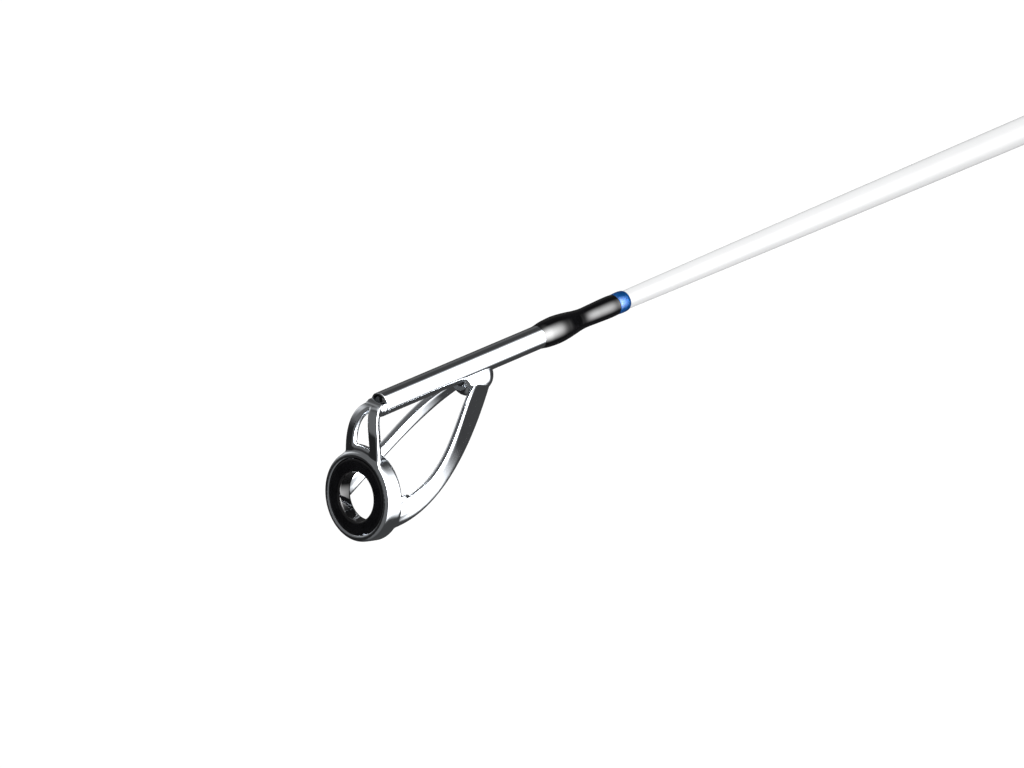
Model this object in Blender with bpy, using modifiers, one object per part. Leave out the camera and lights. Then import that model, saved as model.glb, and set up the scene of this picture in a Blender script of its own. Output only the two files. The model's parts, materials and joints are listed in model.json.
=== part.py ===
"""Two-piece ultralight spinning rod, modelled as separate pieces.

The rod lies along +X with its tip forward, its reel and line guides hang
towards -Z, and the origin is the centre of the butt cap's flat end. All
sizes are in millimetres and turned into metres by MM.
"""
import math

import bmesh
import bpy
from mathutils import Vector

MM = 0.001

# Overall lengths
ROD_LENGTH = 1524.0
FERRULE_AT = ROD_LENGTH / 2.0

# Blank: a slim tip that thickens fast at first and then at a steady rate
TIP_SEAT_RADIUS = 0.70
TIP_REFERENCE = 50.0
TIP_REFERENCE_RADIUS = 0.97
STEADY_TAPER = 0.0021
FAST_TAPER = 0.0060
FAST_TAPER_LENGTH = 80.0
BLANK_WALL = 0.9
BUTT_OPEN_END = 4.4

# Clearances
GLUE_GAP = 0.05
END_GAP = 0.3
SLIDE_GAP = 0.12
RING_EASE = 0.03

# Butt cap, cork grips and their trim rings
CAP_LENGTH = 14.0
CAP_RADIUS = 12.4
CAP_FLAT_RADIUS = 9.6
RING_LENGTH = 2.4
RING_PROUD = 0.35
REAR_GRIP_LENGTH = 74.0
REAR_GRIP_END_RADIUS = 11.9
REAR_GRIP_WAIST_RADIUS = 10.2
REAR_GRIP_FRONT_RADIUS = 7.4
SPLIT_LENGTH = 59.0
COLLAR_GRIP_LENGTH = 24.0
COLLAR_GRIP_REAR_RADIUS = 7.2
FORE_GRIP_LENGTH = 66.0
FORE_GRIP_FRONT_RADIUS = 6.6
WINDING_CHECK_LENGTH = 4.6

# Reel seat
SEAT_LENGTH = 100.0
SEAT_RADIUS = 9.0
SEAT_WALL = 2.0
FOOT_BED_CUT = 0.8
KEYWAY_WIDTH = 3.0
KEYWAY_DEPTH = 0.8
ARBOR_LENGTH = 14.0
HOOD_LENGTH = 20.0
HOOD_WALL = 0.9
POCKET_HALF_WIDTH = 6.6
POCKET_HEIGHT = 5.4
POCKET_CORNER = 2.2
POCKET_END_WALL = 3.0
POCKET_LEAD = 3.0
POCKET_NARROWING = 0.5
HOOD_PAD_THICKNESS = 0.7
HOOD_PAD_HALF_WIDTH = 3.6
HOOD_PAD_INSET = 1.2
FOOT_REST_HEIGHT = 0.25
FOOT_REST_HALF_WIDTH = 2.8
FOOT_REST_INSET = 1.25
NUT_LENGTH = 11.0
NUT_WALL = 2.2
NUT_FLUTES = 12
NUT_FLUTE_DEPTH = 0.55
NUT_NOSE_LENGTH = 1.4
NUT_NOSE_WALL = 1.0
NUT_REST_FROM_SEAT_END = 8.0

# Hook keeper
KEEPER_WIRE_RADIUS = 0.5
KEEPER_HEIGHT = 6.4
KEEPER_SPAN = 11.0
KEEPER_FOOT = 6.0
KEEPER_FROM_CHECK = 24.0

# Ferrule
SLEEVE_LENGTH = 70.0
SLEEVE_WALL = 0.75
MALE_LENGTH = 45.0
SLEEVE_BORE_EASE = 0.08

# Windings
THREAD_HEIGHT = 0.32
THREAD_FEATHER = 1.6
BAND_HEIGHT = 0.22
BAND_LENGTH = 2.2
FERRULE_WRAP_LENGTH = 20.0
STOP_WRAP_LENGTH = 12.0
SLEEVE_TOP_WRAP_LENGTH = 13.0

# Guides: share of the bare tip section from the tip, ring radius, bore
# radius, drop of the ring's centre below the blank, foot width
SINGLE_FOOT_GUIDES = (
    ("guide_6", 0.142, 3.0, 1.95, 7.0, 1.6),
    ("guide_7", 0.312, 3.5, 2.35, 8.0, 1.7),
    ("guide_8", 0.525, 4.0, 3.02, 9.6, 1.8),
)
DOUBLE_FOOT_TIP_GUIDE = ("guide_12", 0.795, 6.0, 4.5, 13.5, 2.2)
STRIPPER_GUIDE = ("stripper", 0.80, 10.0, 8.0, 22.0, 2.6)
FOOT_LENGTH = 11.0

# Tip-top
TUBE_LENGTH = 21.0
TUBE_RADIUS = 0.95
TUBE_BORE_RADIUS = 0.78
TIP_RING_FORWARD = 2.97
TIP_RING_DROP = 6.80
TIP_RING_TILT = math.radians(11.4)
TIP_RING_RADIUS = 3.0
TIP_BORE_RADIUS = 1.92
TIP_RING_THICKNESS = 1.27
TIP_COLLAR_DEPTH = 1.5
TIP_COLLAR_WALL = 0.58
TIP_METAL = 0.5

# Tip-top frame: where each strap's two edges leave the collar, and the points
# (along, side, up) from the tube's mouth that pull them into their curves
LEG_LOW_ANGLE = 128.0
LEG_HIGH_ANGLE = 92.0
LEG_LOW_PULLS = ((-2.29, 4.78, -8.52), (-7.66, 2.84, -3.00))
LEG_HIGH_PULLS = ((-3.66, 3.79, -6.57), (-5.90, 2.33, -2.13))
LEG_LOW_END = (-11.10, 0.80)
LEG_HIGH_END = (-9.30, 0.72)
LEG_END_DEPTH = 0.45
LEG_ROOT_SHARE = 0.72
FORK_OUTER_ANGLE = 33.0
FORK_INNER_ANGLE = 16.5
FORK_OUTER_PULLS = ((1.90, 1.98, -1.80), (1.90, 1.15, 0.15))
FORK_INNER_PULLS = ((2.25, 0.92, -1.65), (1.98, 0.33, 0.40))
WEB_ANGLE = 27.0
WEB_HEIGHT = 0.45
SADDLE_REAR = 11.4
SADDLE_FRONT = 8.2
SADDLE_METAL = 0.85
SADDLE_HALF_ANGLE = 70.0
TIP_WRAP_START = 17.3
TIP_WRAP_LENGTH = 9.2
TIP_BAND_LENGTH = 2.0

# Facets round a turned piece
FINE = 24
MEDIUM = 18
COARSE = 16

scene = bpy.context.scene
for leftover in list(bpy.data.objects):
    bpy.data.objects.remove(leftover, do_unlink=True)

parts = bpy.data.collections.new("ultralight_spinning_rod")
tools = bpy.data.collections.new("cutters")
scene.collection.children.link(parts)
scene.collection.children.link(tools)
tools.hide_render = True


def material(name, colour, roughness, metallic=0.0):
    """A plain Principled material."""
    made = bpy.data.materials.new(name)
    made.use_nodes = True
    shader = made.node_tree.nodes["Principled BSDF"]
    shader.inputs["Base Color"].default_value = (*colour, 1.0)
    shader.inputs["Roughness"].default_value = roughness
    shader.inputs["Metallic"].default_value = metallic
    return made


WHITE_BLANK = material("white_blank", (0.84, 0.84, 0.82), 0.12)
BLACK_THREAD = material("black_thread", (0.012, 0.012, 0.014), 0.10)
BLUE_BAND = material("blue_band", (0.01, 0.16, 0.42), 0.20, 0.6)
STAINLESS = material("stainless", (0.62, 0.63, 0.65), 0.12, 1.0)
BLACK_CERAMIC = material("black_ceramic", (0.01, 0.01, 0.012), 0.08)
CORK = material("cork", (0.62, 0.42, 0.25), 0.75)
RUBBER = material("rubber", (0.02, 0.02, 0.02), 0.7)
BLUE_ANODISED = material("blue_anodised", (0.01, 0.12, 0.40), 0.25, 1.0)
GRAPHITE = material("graphite", (0.03, 0.03, 0.035), 0.4)
FOAM = material("foam", (0.08, 0.08, 0.085), 0.9)


def millimetres(points):
    return [tuple(value * MM for value in point) for point in points]


def place(name, mesh, look, collection=parts, at=(0.0, 0.0, 0.0), turn=(0.0, 0.0, 0.0)):
    """Make an object from a mesh, at a place in millimetres."""
    made = bpy.data.objects.new(name, mesh)
    made.location = Vector(at) * MM
    made.rotation_euler = turn
    collection.objects.link(made)
    if look is not None:
        mesh.materials.append(look)
    if collection is tools:
        made.hide_render = True
        made.display_type = "WIRE"
    return made


def smooth(mesh, angle=math.radians(35.0)):
    mesh.shade_smooth()
    mesh.set_sharp_from_angle(angle=angle)


def turned(name, profile, look, sides=MEDIUM, at=(0.0, 0.0, 0.0), tilt=0.0, collection=parts, closed=True):
    """Revolve (radius, along) points about the rod's direction.

    The profile runs down its outer side from the tip end to the butt end, and
    back up the bore when it is closed.
    """
    mesh = bpy.data.meshes.new(name)
    points = millimetres((radius, 0.0, along) for radius, along in profile)
    count = len(points)
    edges = [(i, i + 1) for i in range(count - 1)]
    if closed:
        edges.append((count - 1, 0))
    mesh.from_pydata(points, edges, [])
    made = place(name, mesh, look, collection, at, (0.0, math.pi / 2.0 - tilt, 0.0))
    screw = made.modifiers.new("turn", "SCREW")
    screw.steps = sides
    screw.render_steps = sides
    screw.use_merge_vertices = True
    screw.merge_threshold = 1e-6
    screw.use_smooth_shade = True
    return made


def closed_mesh(name, sections):
    """Skin a row of equal rings of points and cap both ends."""
    shape = bmesh.new()
    rings = [[shape.verts.new(Vector(point) * MM) for point in ring] for ring in sections]
    sides = len(rings[0])
    for low, high in zip(rings, rings[1:]):
        for i in range(sides):
            j = (i + 1) % sides
            shape.faces.new((low[i], low[j], high[j], high[i]))
    shape.faces.new(rings[0])
    shape.faces.new(list(reversed(rings[-1])))
    bmesh.ops.recalc_face_normals(shape, faces=shape.faces)
    mesh = bpy.data.meshes.new(name)
    shape.to_mesh(mesh)
    shape.free()
    smooth(mesh)
    return mesh


def lofted(name, sections, look, collection=parts, at=(0.0, 0.0, 0.0)):
    return place(name, closed_mesh(name, sections), look, collection, at)


def box(name, low, high, at=(0.0, 0.0, 0.0), look=None, collection=tools):
    """A rectangular block between two corners, a cutter unless it has a look."""
    shape = bmesh.new()
    bmesh.ops.create_cube(shape, size=1.0)
    for vertex in shape.verts:
        for axis in range(3):
            span = high[axis] - low[axis]
            vertex.co[axis] = (low[axis] + (vertex.co[axis] + 0.5) * span) * MM
    mesh = bpy.data.meshes.new(name)
    shape.to_mesh(mesh)
    shape.free()
    return place(name, mesh, look, collection, at)


def combine(target, tool, operation, crossed=False):
    """Boolean modifier; crossed is for a tool whose two sides overlap."""
    modifier = target.modifiers.new(operation.lower(), "BOOLEAN")
    modifier.use_self = crossed
    modifier.operation = operation
    modifier.solver = "EXACT"
    modifier.object = tool


def mirrored(made):
    """Repeat a side piece across the rod's middle plane."""
    mirror = made.modifiers.new("other_side", "MIRROR")
    mirror.use_axis = (False, True, False)
    mirror.use_mirror_merge = False
    mirror.merge_threshold = 1e-6
    return made


def blank_radius(along):
    """Outer radius of the blank at a distance from the butt."""
    from_tip = ROD_LENGTH - along
    past = from_tip - TIP_REFERENCE
    fast = FAST_TAPER * FAST_TAPER_LENGTH * (1.0 - math.exp(-past / FAST_TAPER_LENGTH))
    return max(TIP_SEAT_RADIUS, TIP_REFERENCE_RADIUS + STEADY_TAPER * past + fast)


def outer_line(start, end, count, extra=0.0):
    """Points of the blank's outline, from the tip end down to the butt end."""
    step = (end - start) / count
    return [(blank_radius(end - i * step) + extra, end - i * step) for i in range(count + 1)]


def sleeve_on_blank(name, start, end, height, look, sides=MEDIUM, edge=0.3):
    """A short ring round the blank, with eased outer edges."""
    rear = blank_radius(start)
    front = blank_radius(end)
    outer = [(front + height, end - edge), (rear + height, start + edge)]
    return turned(name, [(front + GLUE_GAP, end)] + outer + [(rear + GLUE_GAP, start)], look, sides)


# Blank sections and ferrule

def butt_blank():
    end = FERRULE_AT + MALE_LENGTH
    outer = outer_line(BUTT_OPEN_END, end, 5)
    inner = [(radius - BLANK_WALL, along) for radius, along in reversed(outer)]
    turned("butt_blank", outer + inner, WHITE_BLANK, MEDIUM)


def tip_blank():
    start = FERRULE_AT + MALE_LENGTH + END_GAP
    front = ROD_LENGTH - 0.8
    bend = ROD_LENGTH - TIP_REFERENCE * 3.0
    outer = outer_line(bend, front - TUBE_LENGTH, 4) + outer_line(start, bend, 3)[1:]
    profile = [(0.0, front), (TIP_SEAT_RADIUS - 0.15, front), (TIP_SEAT_RADIUS, front - 0.3)]
    profile += outer + [(0.0, start)]
    turned("tip_blank", profile, WHITE_BLANK, MEDIUM, closed=False)


def ferrule():
    """Sleeve glued to the tip section; the butt section plugs into it."""
    start = FERRULE_AT
    end = FERRULE_AT + SLEEVE_LENGTH
    bore_rear = blank_radius(start) + SLEEVE_BORE_EASE
    bore_front = blank_radius(end) + SLEEVE_BORE_EASE
    profile = [
        (bore_front + 0.15, end),
        (bore_front + SLEEVE_WALL, end - 4.0),
        (bore_rear + SLEEVE_WALL, start + 0.5),
        (bore_rear + SLEEVE_WALL * 0.6, start),
        (bore_rear, start),
        (bore_front, end),
    ]
    turned("ferrule_sleeve", profile, WHITE_BLANK, MEDIUM)

    wrap_radius = bore_rear + SLEEVE_WALL + GLUE_GAP
    wrap_start = start + 0.8
    wrap_end = wrap_start + FERRULE_WRAP_LENGTH
    turned("ferrule_wrap", [
        (wrap_radius + 0.06, wrap_end),
        (wrap_radius + THREAD_HEIGHT, wrap_end - THREAD_FEATHER),
        (wrap_radius + THREAD_HEIGHT, wrap_start + THREAD_FEATHER),
        (wrap_radius + 0.06, wrap_start),
        (wrap_radius, wrap_start),
        (wrap_radius, wrap_end),
    ], BLACK_THREAD, MEDIUM)
    band_start = wrap_end + GLUE_GAP
    turned("ferrule_trim_band", [
        (wrap_radius + BAND_HEIGHT * 0.5, band_start + BAND_LENGTH),
        (wrap_radius + BAND_HEIGHT, band_start + BAND_LENGTH - 0.3),
        (wrap_radius + BAND_HEIGHT, band_start),
        (wrap_radius, band_start),
        (wrap_radius, band_start + BAND_LENGTH),
    ], BLUE_BAND, MEDIUM)

    top_start = end + 0.1
    top_end = top_start + SLEEVE_TOP_WRAP_LENGTH
    turned("sleeve_top_wrap", [
        (blank_radius(top_end) + GLUE_GAP + 0.06, top_end),
        (blank_radius(top_end) + THREAD_HEIGHT, top_end - THREAD_FEATHER),
        (blank_radius(top_start) + THREAD_HEIGHT + 0.1, top_start + 2.5),
        (blank_radius(top_start) + THREAD_HEIGHT + 0.2, top_start),
        (blank_radius(top_start) + GLUE_GAP, top_start),
        (blank_radius(top_end) + GLUE_GAP, top_end),
    ], BLACK_THREAD, MEDIUM)

    stop_end = FERRULE_AT - 2.0
    sleeve_on_blank("butt_stop_wrap", stop_end - STOP_WRAP_LENGTH, stop_end,
                    THREAD_HEIGHT, BLACK_THREAD, MEDIUM, THREAD_FEATHER)


# Handle

CAP_RING_START = CAP_LENGTH + GLUE_GAP
REAR_GRIP_START = CAP_RING_START + RING_LENGTH + GLUE_GAP
REAR_GRIP_END = REAR_GRIP_START + REAR_GRIP_LENGTH
REAR_CHECK_START = REAR_GRIP_END + GLUE_GAP
COLLAR_CHECK_START = REAR_CHECK_START + RING_LENGTH + SPLIT_LENGTH
COLLAR_GRIP_START = COLLAR_CHECK_START + RING_LENGTH + GLUE_GAP
COLLAR_GRIP_END = COLLAR_GRIP_START + COLLAR_GRIP_LENGTH
SEAT_START = COLLAR_GRIP_END + END_GAP
SEAT_END = SEAT_START + SEAT_LENGTH
FORE_GRIP_START = SEAT_END + END_GAP
FORE_GRIP_END = FORE_GRIP_START + FORE_GRIP_LENGTH
CHECK_START = FORE_GRIP_END + GLUE_GAP
CHECK_END = CHECK_START + WINDING_CHECK_LENGTH
NUT_START = SEAT_START + NUT_REST_FROM_SEAT_END
HOOD_START = NUT_START + NUT_LENGTH + GLUE_GAP
HOOD_END = HOOD_START + HOOD_LENGTH
FOOT_BED_DROP = SEAT_RADIUS - FOOT_BED_CUT
POCKET_FLOOR = FOOT_BED_DROP + POCKET_HEIGHT
SEAT_BORE_RADIUS = SEAT_RADIUS - SEAT_WALL
NUT_RADIUS = SEAT_RADIUS + NUT_WALL
NUT_NOSE_RADIUS = SEAT_RADIUS + NUT_NOSE_WALL


def butt_cap():
    bore = blank_radius(BUTT_OPEN_END) + GLUE_GAP
    floor = BUTT_OPEN_END - END_GAP
    turned("butt_cap", [
        (0.0, floor),
        (bore, floor),
        (bore, CAP_LENGTH),
        (CAP_RADIUS - 0.5, CAP_LENGTH),
        (CAP_RADIUS, CAP_LENGTH - 0.7),
        (CAP_RADIUS, 5.0),
        (CAP_RADIUS - 0.6, 2.4),
        (CAP_RADIUS - 1.5, 0.8),
        (CAP_FLAT_RADIUS, 0.0),
        (0.0, 0.0),
    ], RUBBER, MEDIUM, closed=False)


def grip(name, start, length, radii):
    """A turned grip; radii are (share of length, radius), butt end first."""
    end = start + length
    outer = [(radius, start + share * length) for share, radius in reversed(radii)]
    bore = [(blank_radius(start) + GLUE_GAP, start), (blank_radius(end) + GLUE_GAP, end)]
    turned(name, outer + bore, CORK)


def handle():
    butt_cap()
    turned_ring("cap_trim_ring", CAP_RING_START, REAR_GRIP_END_RADIUS + RING_PROUD)
    end = REAR_GRIP_END_RADIUS
    waist = REAR_GRIP_WAIST_RADIUS
    front = REAR_GRIP_FRONT_RADIUS
    grip("rear_grip", REAR_GRIP_START, REAR_GRIP_LENGTH, (
        (0.0, end - 0.25), (0.008, end), (0.10, end), (0.25, end - 0.45),
        (0.42, waist), (0.56, waist), (0.70, waist + 0.45), (0.80, waist + 0.25),
        (0.91, (waist + front) / 2.0), (1.0, front)))
    turned_ring("rear_grip_check", REAR_CHECK_START, front + RING_PROUD, blank_radius(REAR_CHECK_START) + 1.2)
    rear = COLLAR_GRIP_REAR_RADIUS
    turned_ring("collar_check", COLLAR_CHECK_START, blank_radius(COLLAR_CHECK_START) + 1.2, rear + RING_PROUD)
    grip("collar_grip", COLLAR_GRIP_START, COLLAR_GRIP_LENGTH, (
        (0.0, rear), (0.25, rear + 0.9), (0.6, SEAT_RADIUS + 0.1), (0.85, SEAT_RADIUS + 0.6),
        (0.97, SEAT_RADIUS + 0.6), (1.0, SEAT_RADIUS + 0.3)))
    front = FORE_GRIP_FRONT_RADIUS
    hood = SEAT_RADIUS + HOOD_WALL + 0.5
    grip("fore_grip", FORE_GRIP_START, FORE_GRIP_LENGTH, (
        (0.0, hood - 0.3), (0.01, hood), (0.12, hood + 0.3), (0.28, hood + 0.2), (0.46, hood - 0.7),
        (0.64, hood - 1.9), (0.82, front + 0.8), (1.0, front)))
    tail = blank_radius(CHECK_END) + 0.7
    turned("winding_check", [
        (tail - 0.2, CHECK_END),
        (tail, CHECK_END - 0.3),
        (front - 0.6, CHECK_START + 1.8),
        (front + RING_PROUD, CHECK_START + 1.5),
        (front + RING_PROUD, CHECK_START),
        (blank_radius(CHECK_START) + GLUE_GAP, CHECK_START),
        (blank_radius(CHECK_END) + GLUE_GAP, CHECK_END),
    ], BLUE_ANODISED, MEDIUM)


def turned_ring(name, start, rear_radius, front_radius=None):
    """A thin trim ring, straight or tapered, bored for the blank."""
    front_radius = rear_radius if front_radius is None else front_radius
    end = start + RING_LENGTH
    turned(name, [
        (front_radius - 0.25, end),
        (front_radius, end - 0.3),
        (rear_radius, start + 0.3),
        (rear_radius - 0.25, start),
        (blank_radius(start) + GLUE_GAP, start),
        (blank_radius(end) + GLUE_GAP, end),
    ], BLUE_ANODISED, MEDIUM)


# Reel seat

def reel_seat():
    middle = (SEAT_START + SEAT_END) / 2.0
    half = SEAT_LENGTH / 2.0
    body = turned("reel_seat_body", [
        (SEAT_RADIUS - 0.3, half),
        (SEAT_RADIUS, half - 0.3),
        (SEAT_RADIUS, -half + 0.5),
        (SEAT_RADIUS - 0.5, -half),
        (SEAT_BORE_RADIUS, -half),
        (SEAT_BORE_RADIUS, half),
    ], GRAPHITE, FINE, at=(middle, 0.0, 0.0))
    reach = SEAT_RADIUS + 2.0
    at = (middle, 0.0, 0.0)
    bed = box("foot_bed_tool", (-half - 1.0, -reach, -reach), (half + 1.0, reach, -FOOT_BED_DROP), at)
    combine(body, bed, "DIFFERENCE")
    keyway = box("keyway_tool", (-half - 1.0, -KEYWAY_WIDTH / 2.0, SEAT_RADIUS - KEYWAY_DEPTH),
                 (half - HOOD_LENGTH, KEYWAY_WIDTH / 2.0, reach), at)
    combine(body, keyway, "DIFFERENCE")
    rest = box("foot_rest_tool",
               (HOOD_END + FOOT_REST_INSET, -FOOT_REST_HALF_WIDTH, -FOOT_BED_DROP - FOOT_REST_HEIGHT),
               (SEAT_END - HOOD_LENGTH - FOOT_REST_INSET, FOOT_REST_HALF_WIDTH, -FOOT_BED_DROP + 0.3))
    combine(body, rest, "UNION")
    for name, start in (("seat_arbor_rear", SEAT_START + 4.0),
                        ("seat_arbor_front", SEAT_END - 4.0 - ARBOR_LENGTH)):
        end = start + ARBOR_LENGTH
        turned(name, [
            (SEAT_BORE_RADIUS - GLUE_GAP, end),
            (SEAT_BORE_RADIUS - GLUE_GAP, start),
            (blank_radius(start) + GLUE_GAP, start),
            (blank_radius(end) + GLUE_GAP, end),
        ], FOAM, FINE)


def hull_outline(circles, count, inset=0.0):
    """Outline drawn tight round circles (y, z, radius), as (y, z) points."""
    points = []
    for i in range(count):
        angle = 2.0 * math.pi * (i + 0.5) / count
        out_y = math.cos(angle)
        out_z = math.sin(angle)
        y, z, radius = max(circles, key=lambda c: c[0] * out_y + c[1] * out_z + c[2])
        points.append((y + (radius - inset) * out_y, z + (radius - inset) * out_z))
    return points


def hood_sections(mouth):
    """Hood outlines from the mouth to the closed end, which draws in."""
    corner = POCKET_CORNER + HOOD_WALL
    side = POCKET_HALF_WIDTH - POCKET_CORNER
    drop = POCKET_FLOOR - POCKET_CORNER
    barrel = SEAT_RADIUS + SLIDE_GAP + HOOD_WALL
    sections = []
    for share, inset, lift in ((0.0, 0.25, 0.0), (0.02, 0.0, 0.0), (0.55, 0.0, 0.0),
                               (0.84, 0.1, 0.9), (1.0, 0.4, 2.6)):
        circles = [(0.0, 0.0, barrel), (side, lift - drop, corner), (-side, lift - drop, corner)]
        along = mouth * HOOD_LENGTH * (0.5 - share)
        sections.append([(along, y, z) for y, z in hull_outline(circles, 28, inset)])
    return sections


def round_cutter(name, rear, front, radius, at):
    """A plain round cutter along the rod, on the seat's facets."""
    profile = [(0.0, front), (radius, front), (radius, rear), (0.0, rear)]
    return turned(name, profile, None, FINE, at, collection=tools, closed=False)


def hood(name, middle, mouth):
    """A reel foot hood; mouth is +1 when it opens towards the tip."""
    at = (middle, 0.0, 0.0)
    half = HOOD_LENGTH / 2.0
    shell = lofted(name, hood_sections(mouth), STAINLESS, at=at)
    bore = round_cutter(name + "_bore_tool", -half - 1.0, half + 1.0, SEAT_RADIUS + SLIDE_GAP, at)
    combine(shell, bore, "DIFFERENCE")
    side = POCKET_HALF_WIDTH - POCKET_CORNER
    corners = [(y, z, POCKET_CORNER) for z in (POCKET_CORNER - POCKET_FLOOR, POCKET_CORNER - FOOT_BED_DROP)
               for y in (side, -side)]
    deep = mouth * (POCKET_END_WALL - half)
    out = mouth * (half + 1.0)
    narrow = hull_outline(corners, 24, POCKET_NARROWING)
    full = hull_outline(corners, 24)
    pocket = lofted(name + "_pocket_tool", [
        [(deep, y, z) for y, z in narrow],
        [(deep + mouth * POCKET_LEAD, y, z) for y, z in full],
        [(out, y, z) for y, z in full],
    ], None, tools, at)
    combine(shell, pocket, "DIFFERENCE")
    pad_low = 2.0 * GLUE_GAP - POCKET_FLOOR
    ends = sorted((deep + mouth * (POCKET_LEAD + 1.5), mouth * (half - HOOD_PAD_INSET)))
    pad = box(name + "_pad", (ends[0], -HOOD_PAD_HALF_WIDTH, pad_low),
              (ends[1], HOOD_PAD_HALF_WIDTH, pad_low + HOOD_PAD_THICKNESS), at, RUBBER, parts)
    edges = pad.modifiers.new("eased_edges", "BEVEL")
    edges.width = 0.15 * MM
    edges.segments = 1
    return shell


def hoods_and_nut():
    half = HOOD_LENGTH / 2.0
    hood("fixed_hood", SEAT_END - half, -1.0)
    middle = HOOD_START + half
    at = (middle, 0.0, 0.0)
    shell = hood("movable_hood", middle, 1.0)
    nose_end = NUT_NOSE_LENGTH + 0.2 - half
    recess = round_cutter("nose_recess_tool", -half - 1.0, nose_end, NUT_NOSE_RADIUS + SLIDE_GAP, at)
    combine(shell, recess, "DIFFERENCE")
    key_half = KEYWAY_WIDTH / 2.0 - SLIDE_GAP
    key = box("hood_key_tool",
              (nose_end + 0.8, -key_half, SEAT_RADIUS - KEYWAY_DEPTH + SLIDE_GAP),
              (half - 1.0, key_half, SEAT_RADIUS + SLIDE_GAP + HOOD_WALL / 2.0), at)
    combine(shell, key, "UNION")
    lock_nut()


def lock_nut():
    """Fluted ring nut with a plain nose that turns inside the hood."""
    points_round = NUT_FLUTES * 4
    sections = []
    for along, radius, depth in ((0.0, NUT_RADIUS - 0.7, 0.3), (0.5, NUT_RADIUS, 1.0),
                                 (NUT_LENGTH - 2.6, NUT_RADIUS, 1.0),
                                 (NUT_LENGTH - 2.0, NUT_RADIUS - 0.5, 0.2),
                                 (NUT_LENGTH, NUT_RADIUS - 0.6, 0.0)):
        ring = []
        for i in range(points_round):
            angle = 2.0 * math.pi * i / points_round
            wave = max(0.0, -math.cos(NUT_FLUTES * angle)) ** 0.8
            out = radius - NUT_FLUTE_DEPTH * depth * wave
            ring.append((along, out * math.cos(angle), out * math.sin(angle)))
        sections.append(ring)
    at = (NUT_START, 0.0, 0.0)
    nut = lofted("lock_nut", sections, GRAPHITE, at=at)
    nose_end = NUT_LENGTH + NUT_NOSE_LENGTH
    nose = turned("nut_nose_tool", [
        (0.0, nose_end), (NUT_NOSE_RADIUS - 0.3, nose_end), (NUT_NOSE_RADIUS, nose_end - 0.3),
        (NUT_NOSE_RADIUS, NUT_LENGTH - 1.0), (0.0, NUT_LENGTH - 1.0)],
        None, FINE, at, collection=tools, closed=False)
    combine(nut, nose, "UNION")
    hole = round_cutter("nut_bore_tool", -1.0, nose_end + 1.0, SEAT_RADIUS + SLIDE_GAP, at)
    combine(nut, hole, "DIFFERENCE")


# Windings over a guide foot

def bump_radius(angle, plain, drop, bump):
    """Outline of a winding: a circle joined to a lower, smaller one.

    The angle is measured round the rod from straight down.
    """
    along_drop = drop * math.cos(angle)
    inside = along_drop * along_drop - drop * drop + bump * bump
    lower = along_drop + math.sqrt(inside) if inside > 0.0 else 0.0
    return max(plain, lower)


def foot_wrap(name, start, end, foot_half_width, foot_height, open_end, sides=MEDIUM):
    """Thread and epoxy over a foot; open_end is +1 when the foot leaves tipwards."""
    steps = ((0.0, 0.0), (0.2, 0.85), (1.0, 1.0)) if open_end > 0 else ((0.0, 1.0), (0.8, 0.85), (1.0, 0.0))
    sections = []
    for share, full in steps:
        along = start + share * (end - start)
        blank = blank_radius(along)
        plain = blank + GLUE_GAP + 0.08 + (THREAD_HEIGHT - 0.08) * min(1.0, full * 1.4)
        drop = blank * 0.75
        corner = math.hypot(foot_half_width + 0.1, blank + foot_height + 0.1 - drop)
        bump = corner + 0.22 - (1.0 - full) * foot_height
        ring = []
        for i in range(sides):
            angle = 2.0 * math.pi * i / sides
            radius = bump_radius(angle, plain, drop, bump)
            ring.append((along, radius * math.sin(angle), -radius * math.cos(angle)))
        sections.append(ring)
    wrap = lofted(name, sections, BLACK_THREAD)
    bore = turned(name + "_bore_tool", [
        (0.0, end + 1.0), (blank_radius(end + 1.0) + GLUE_GAP, end + 1.0),
        (blank_radius(start - 1.0) + GLUE_GAP, start - 1.0), (0.0, start - 1.0)],
        None, sides, collection=tools, closed=False)
    combine(wrap, bore, "DIFFERENCE")
    blank = blank_radius(start)
    deep = start + 1.8 if open_end > 0 else end - 1.8
    out = end + 1.0 if open_end > 0 else start - 1.0
    slot = box(name + "_foot_tool",
                    (min(deep, out), -foot_half_width - 0.08, -blank - foot_height - 0.08),
                    (max(deep, out), foot_half_width + 0.08, -blank * 0.6))
    combine(wrap, slot, "DIFFERENCE")


# Guide frames

class RingSeat:
    """A ring's place: centre, tilt, and its own axes."""

    def __init__(self, forward, drop, tilt):
        self.centre = Vector((forward, 0.0, -drop))
        self.tilt = tilt
        self.axis = Vector((math.cos(tilt), 0.0, math.sin(tilt)))
        self.up = Vector((-math.sin(tilt), 0.0, math.cos(tilt)))
        self.side = Vector((0.0, 1.0, 0.0))

    def rim(self, degrees_from_top, radius, depth):
        angle = math.radians(degrees_from_top)
        spoke = self.up * math.cos(angle) + self.side * math.sin(angle)
        return self.centre + spoke * radius - self.axis * depth


def cubic(points, share):
    """Point at a share of the way along a cubic curve."""
    rest = 1.0 - share
    a, b, c, d = (Vector(point) for point in points)
    return a * rest**3 + b * (3.0 * rest * rest * share) + c * (3.0 * rest * share * share) + d * share**3


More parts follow.
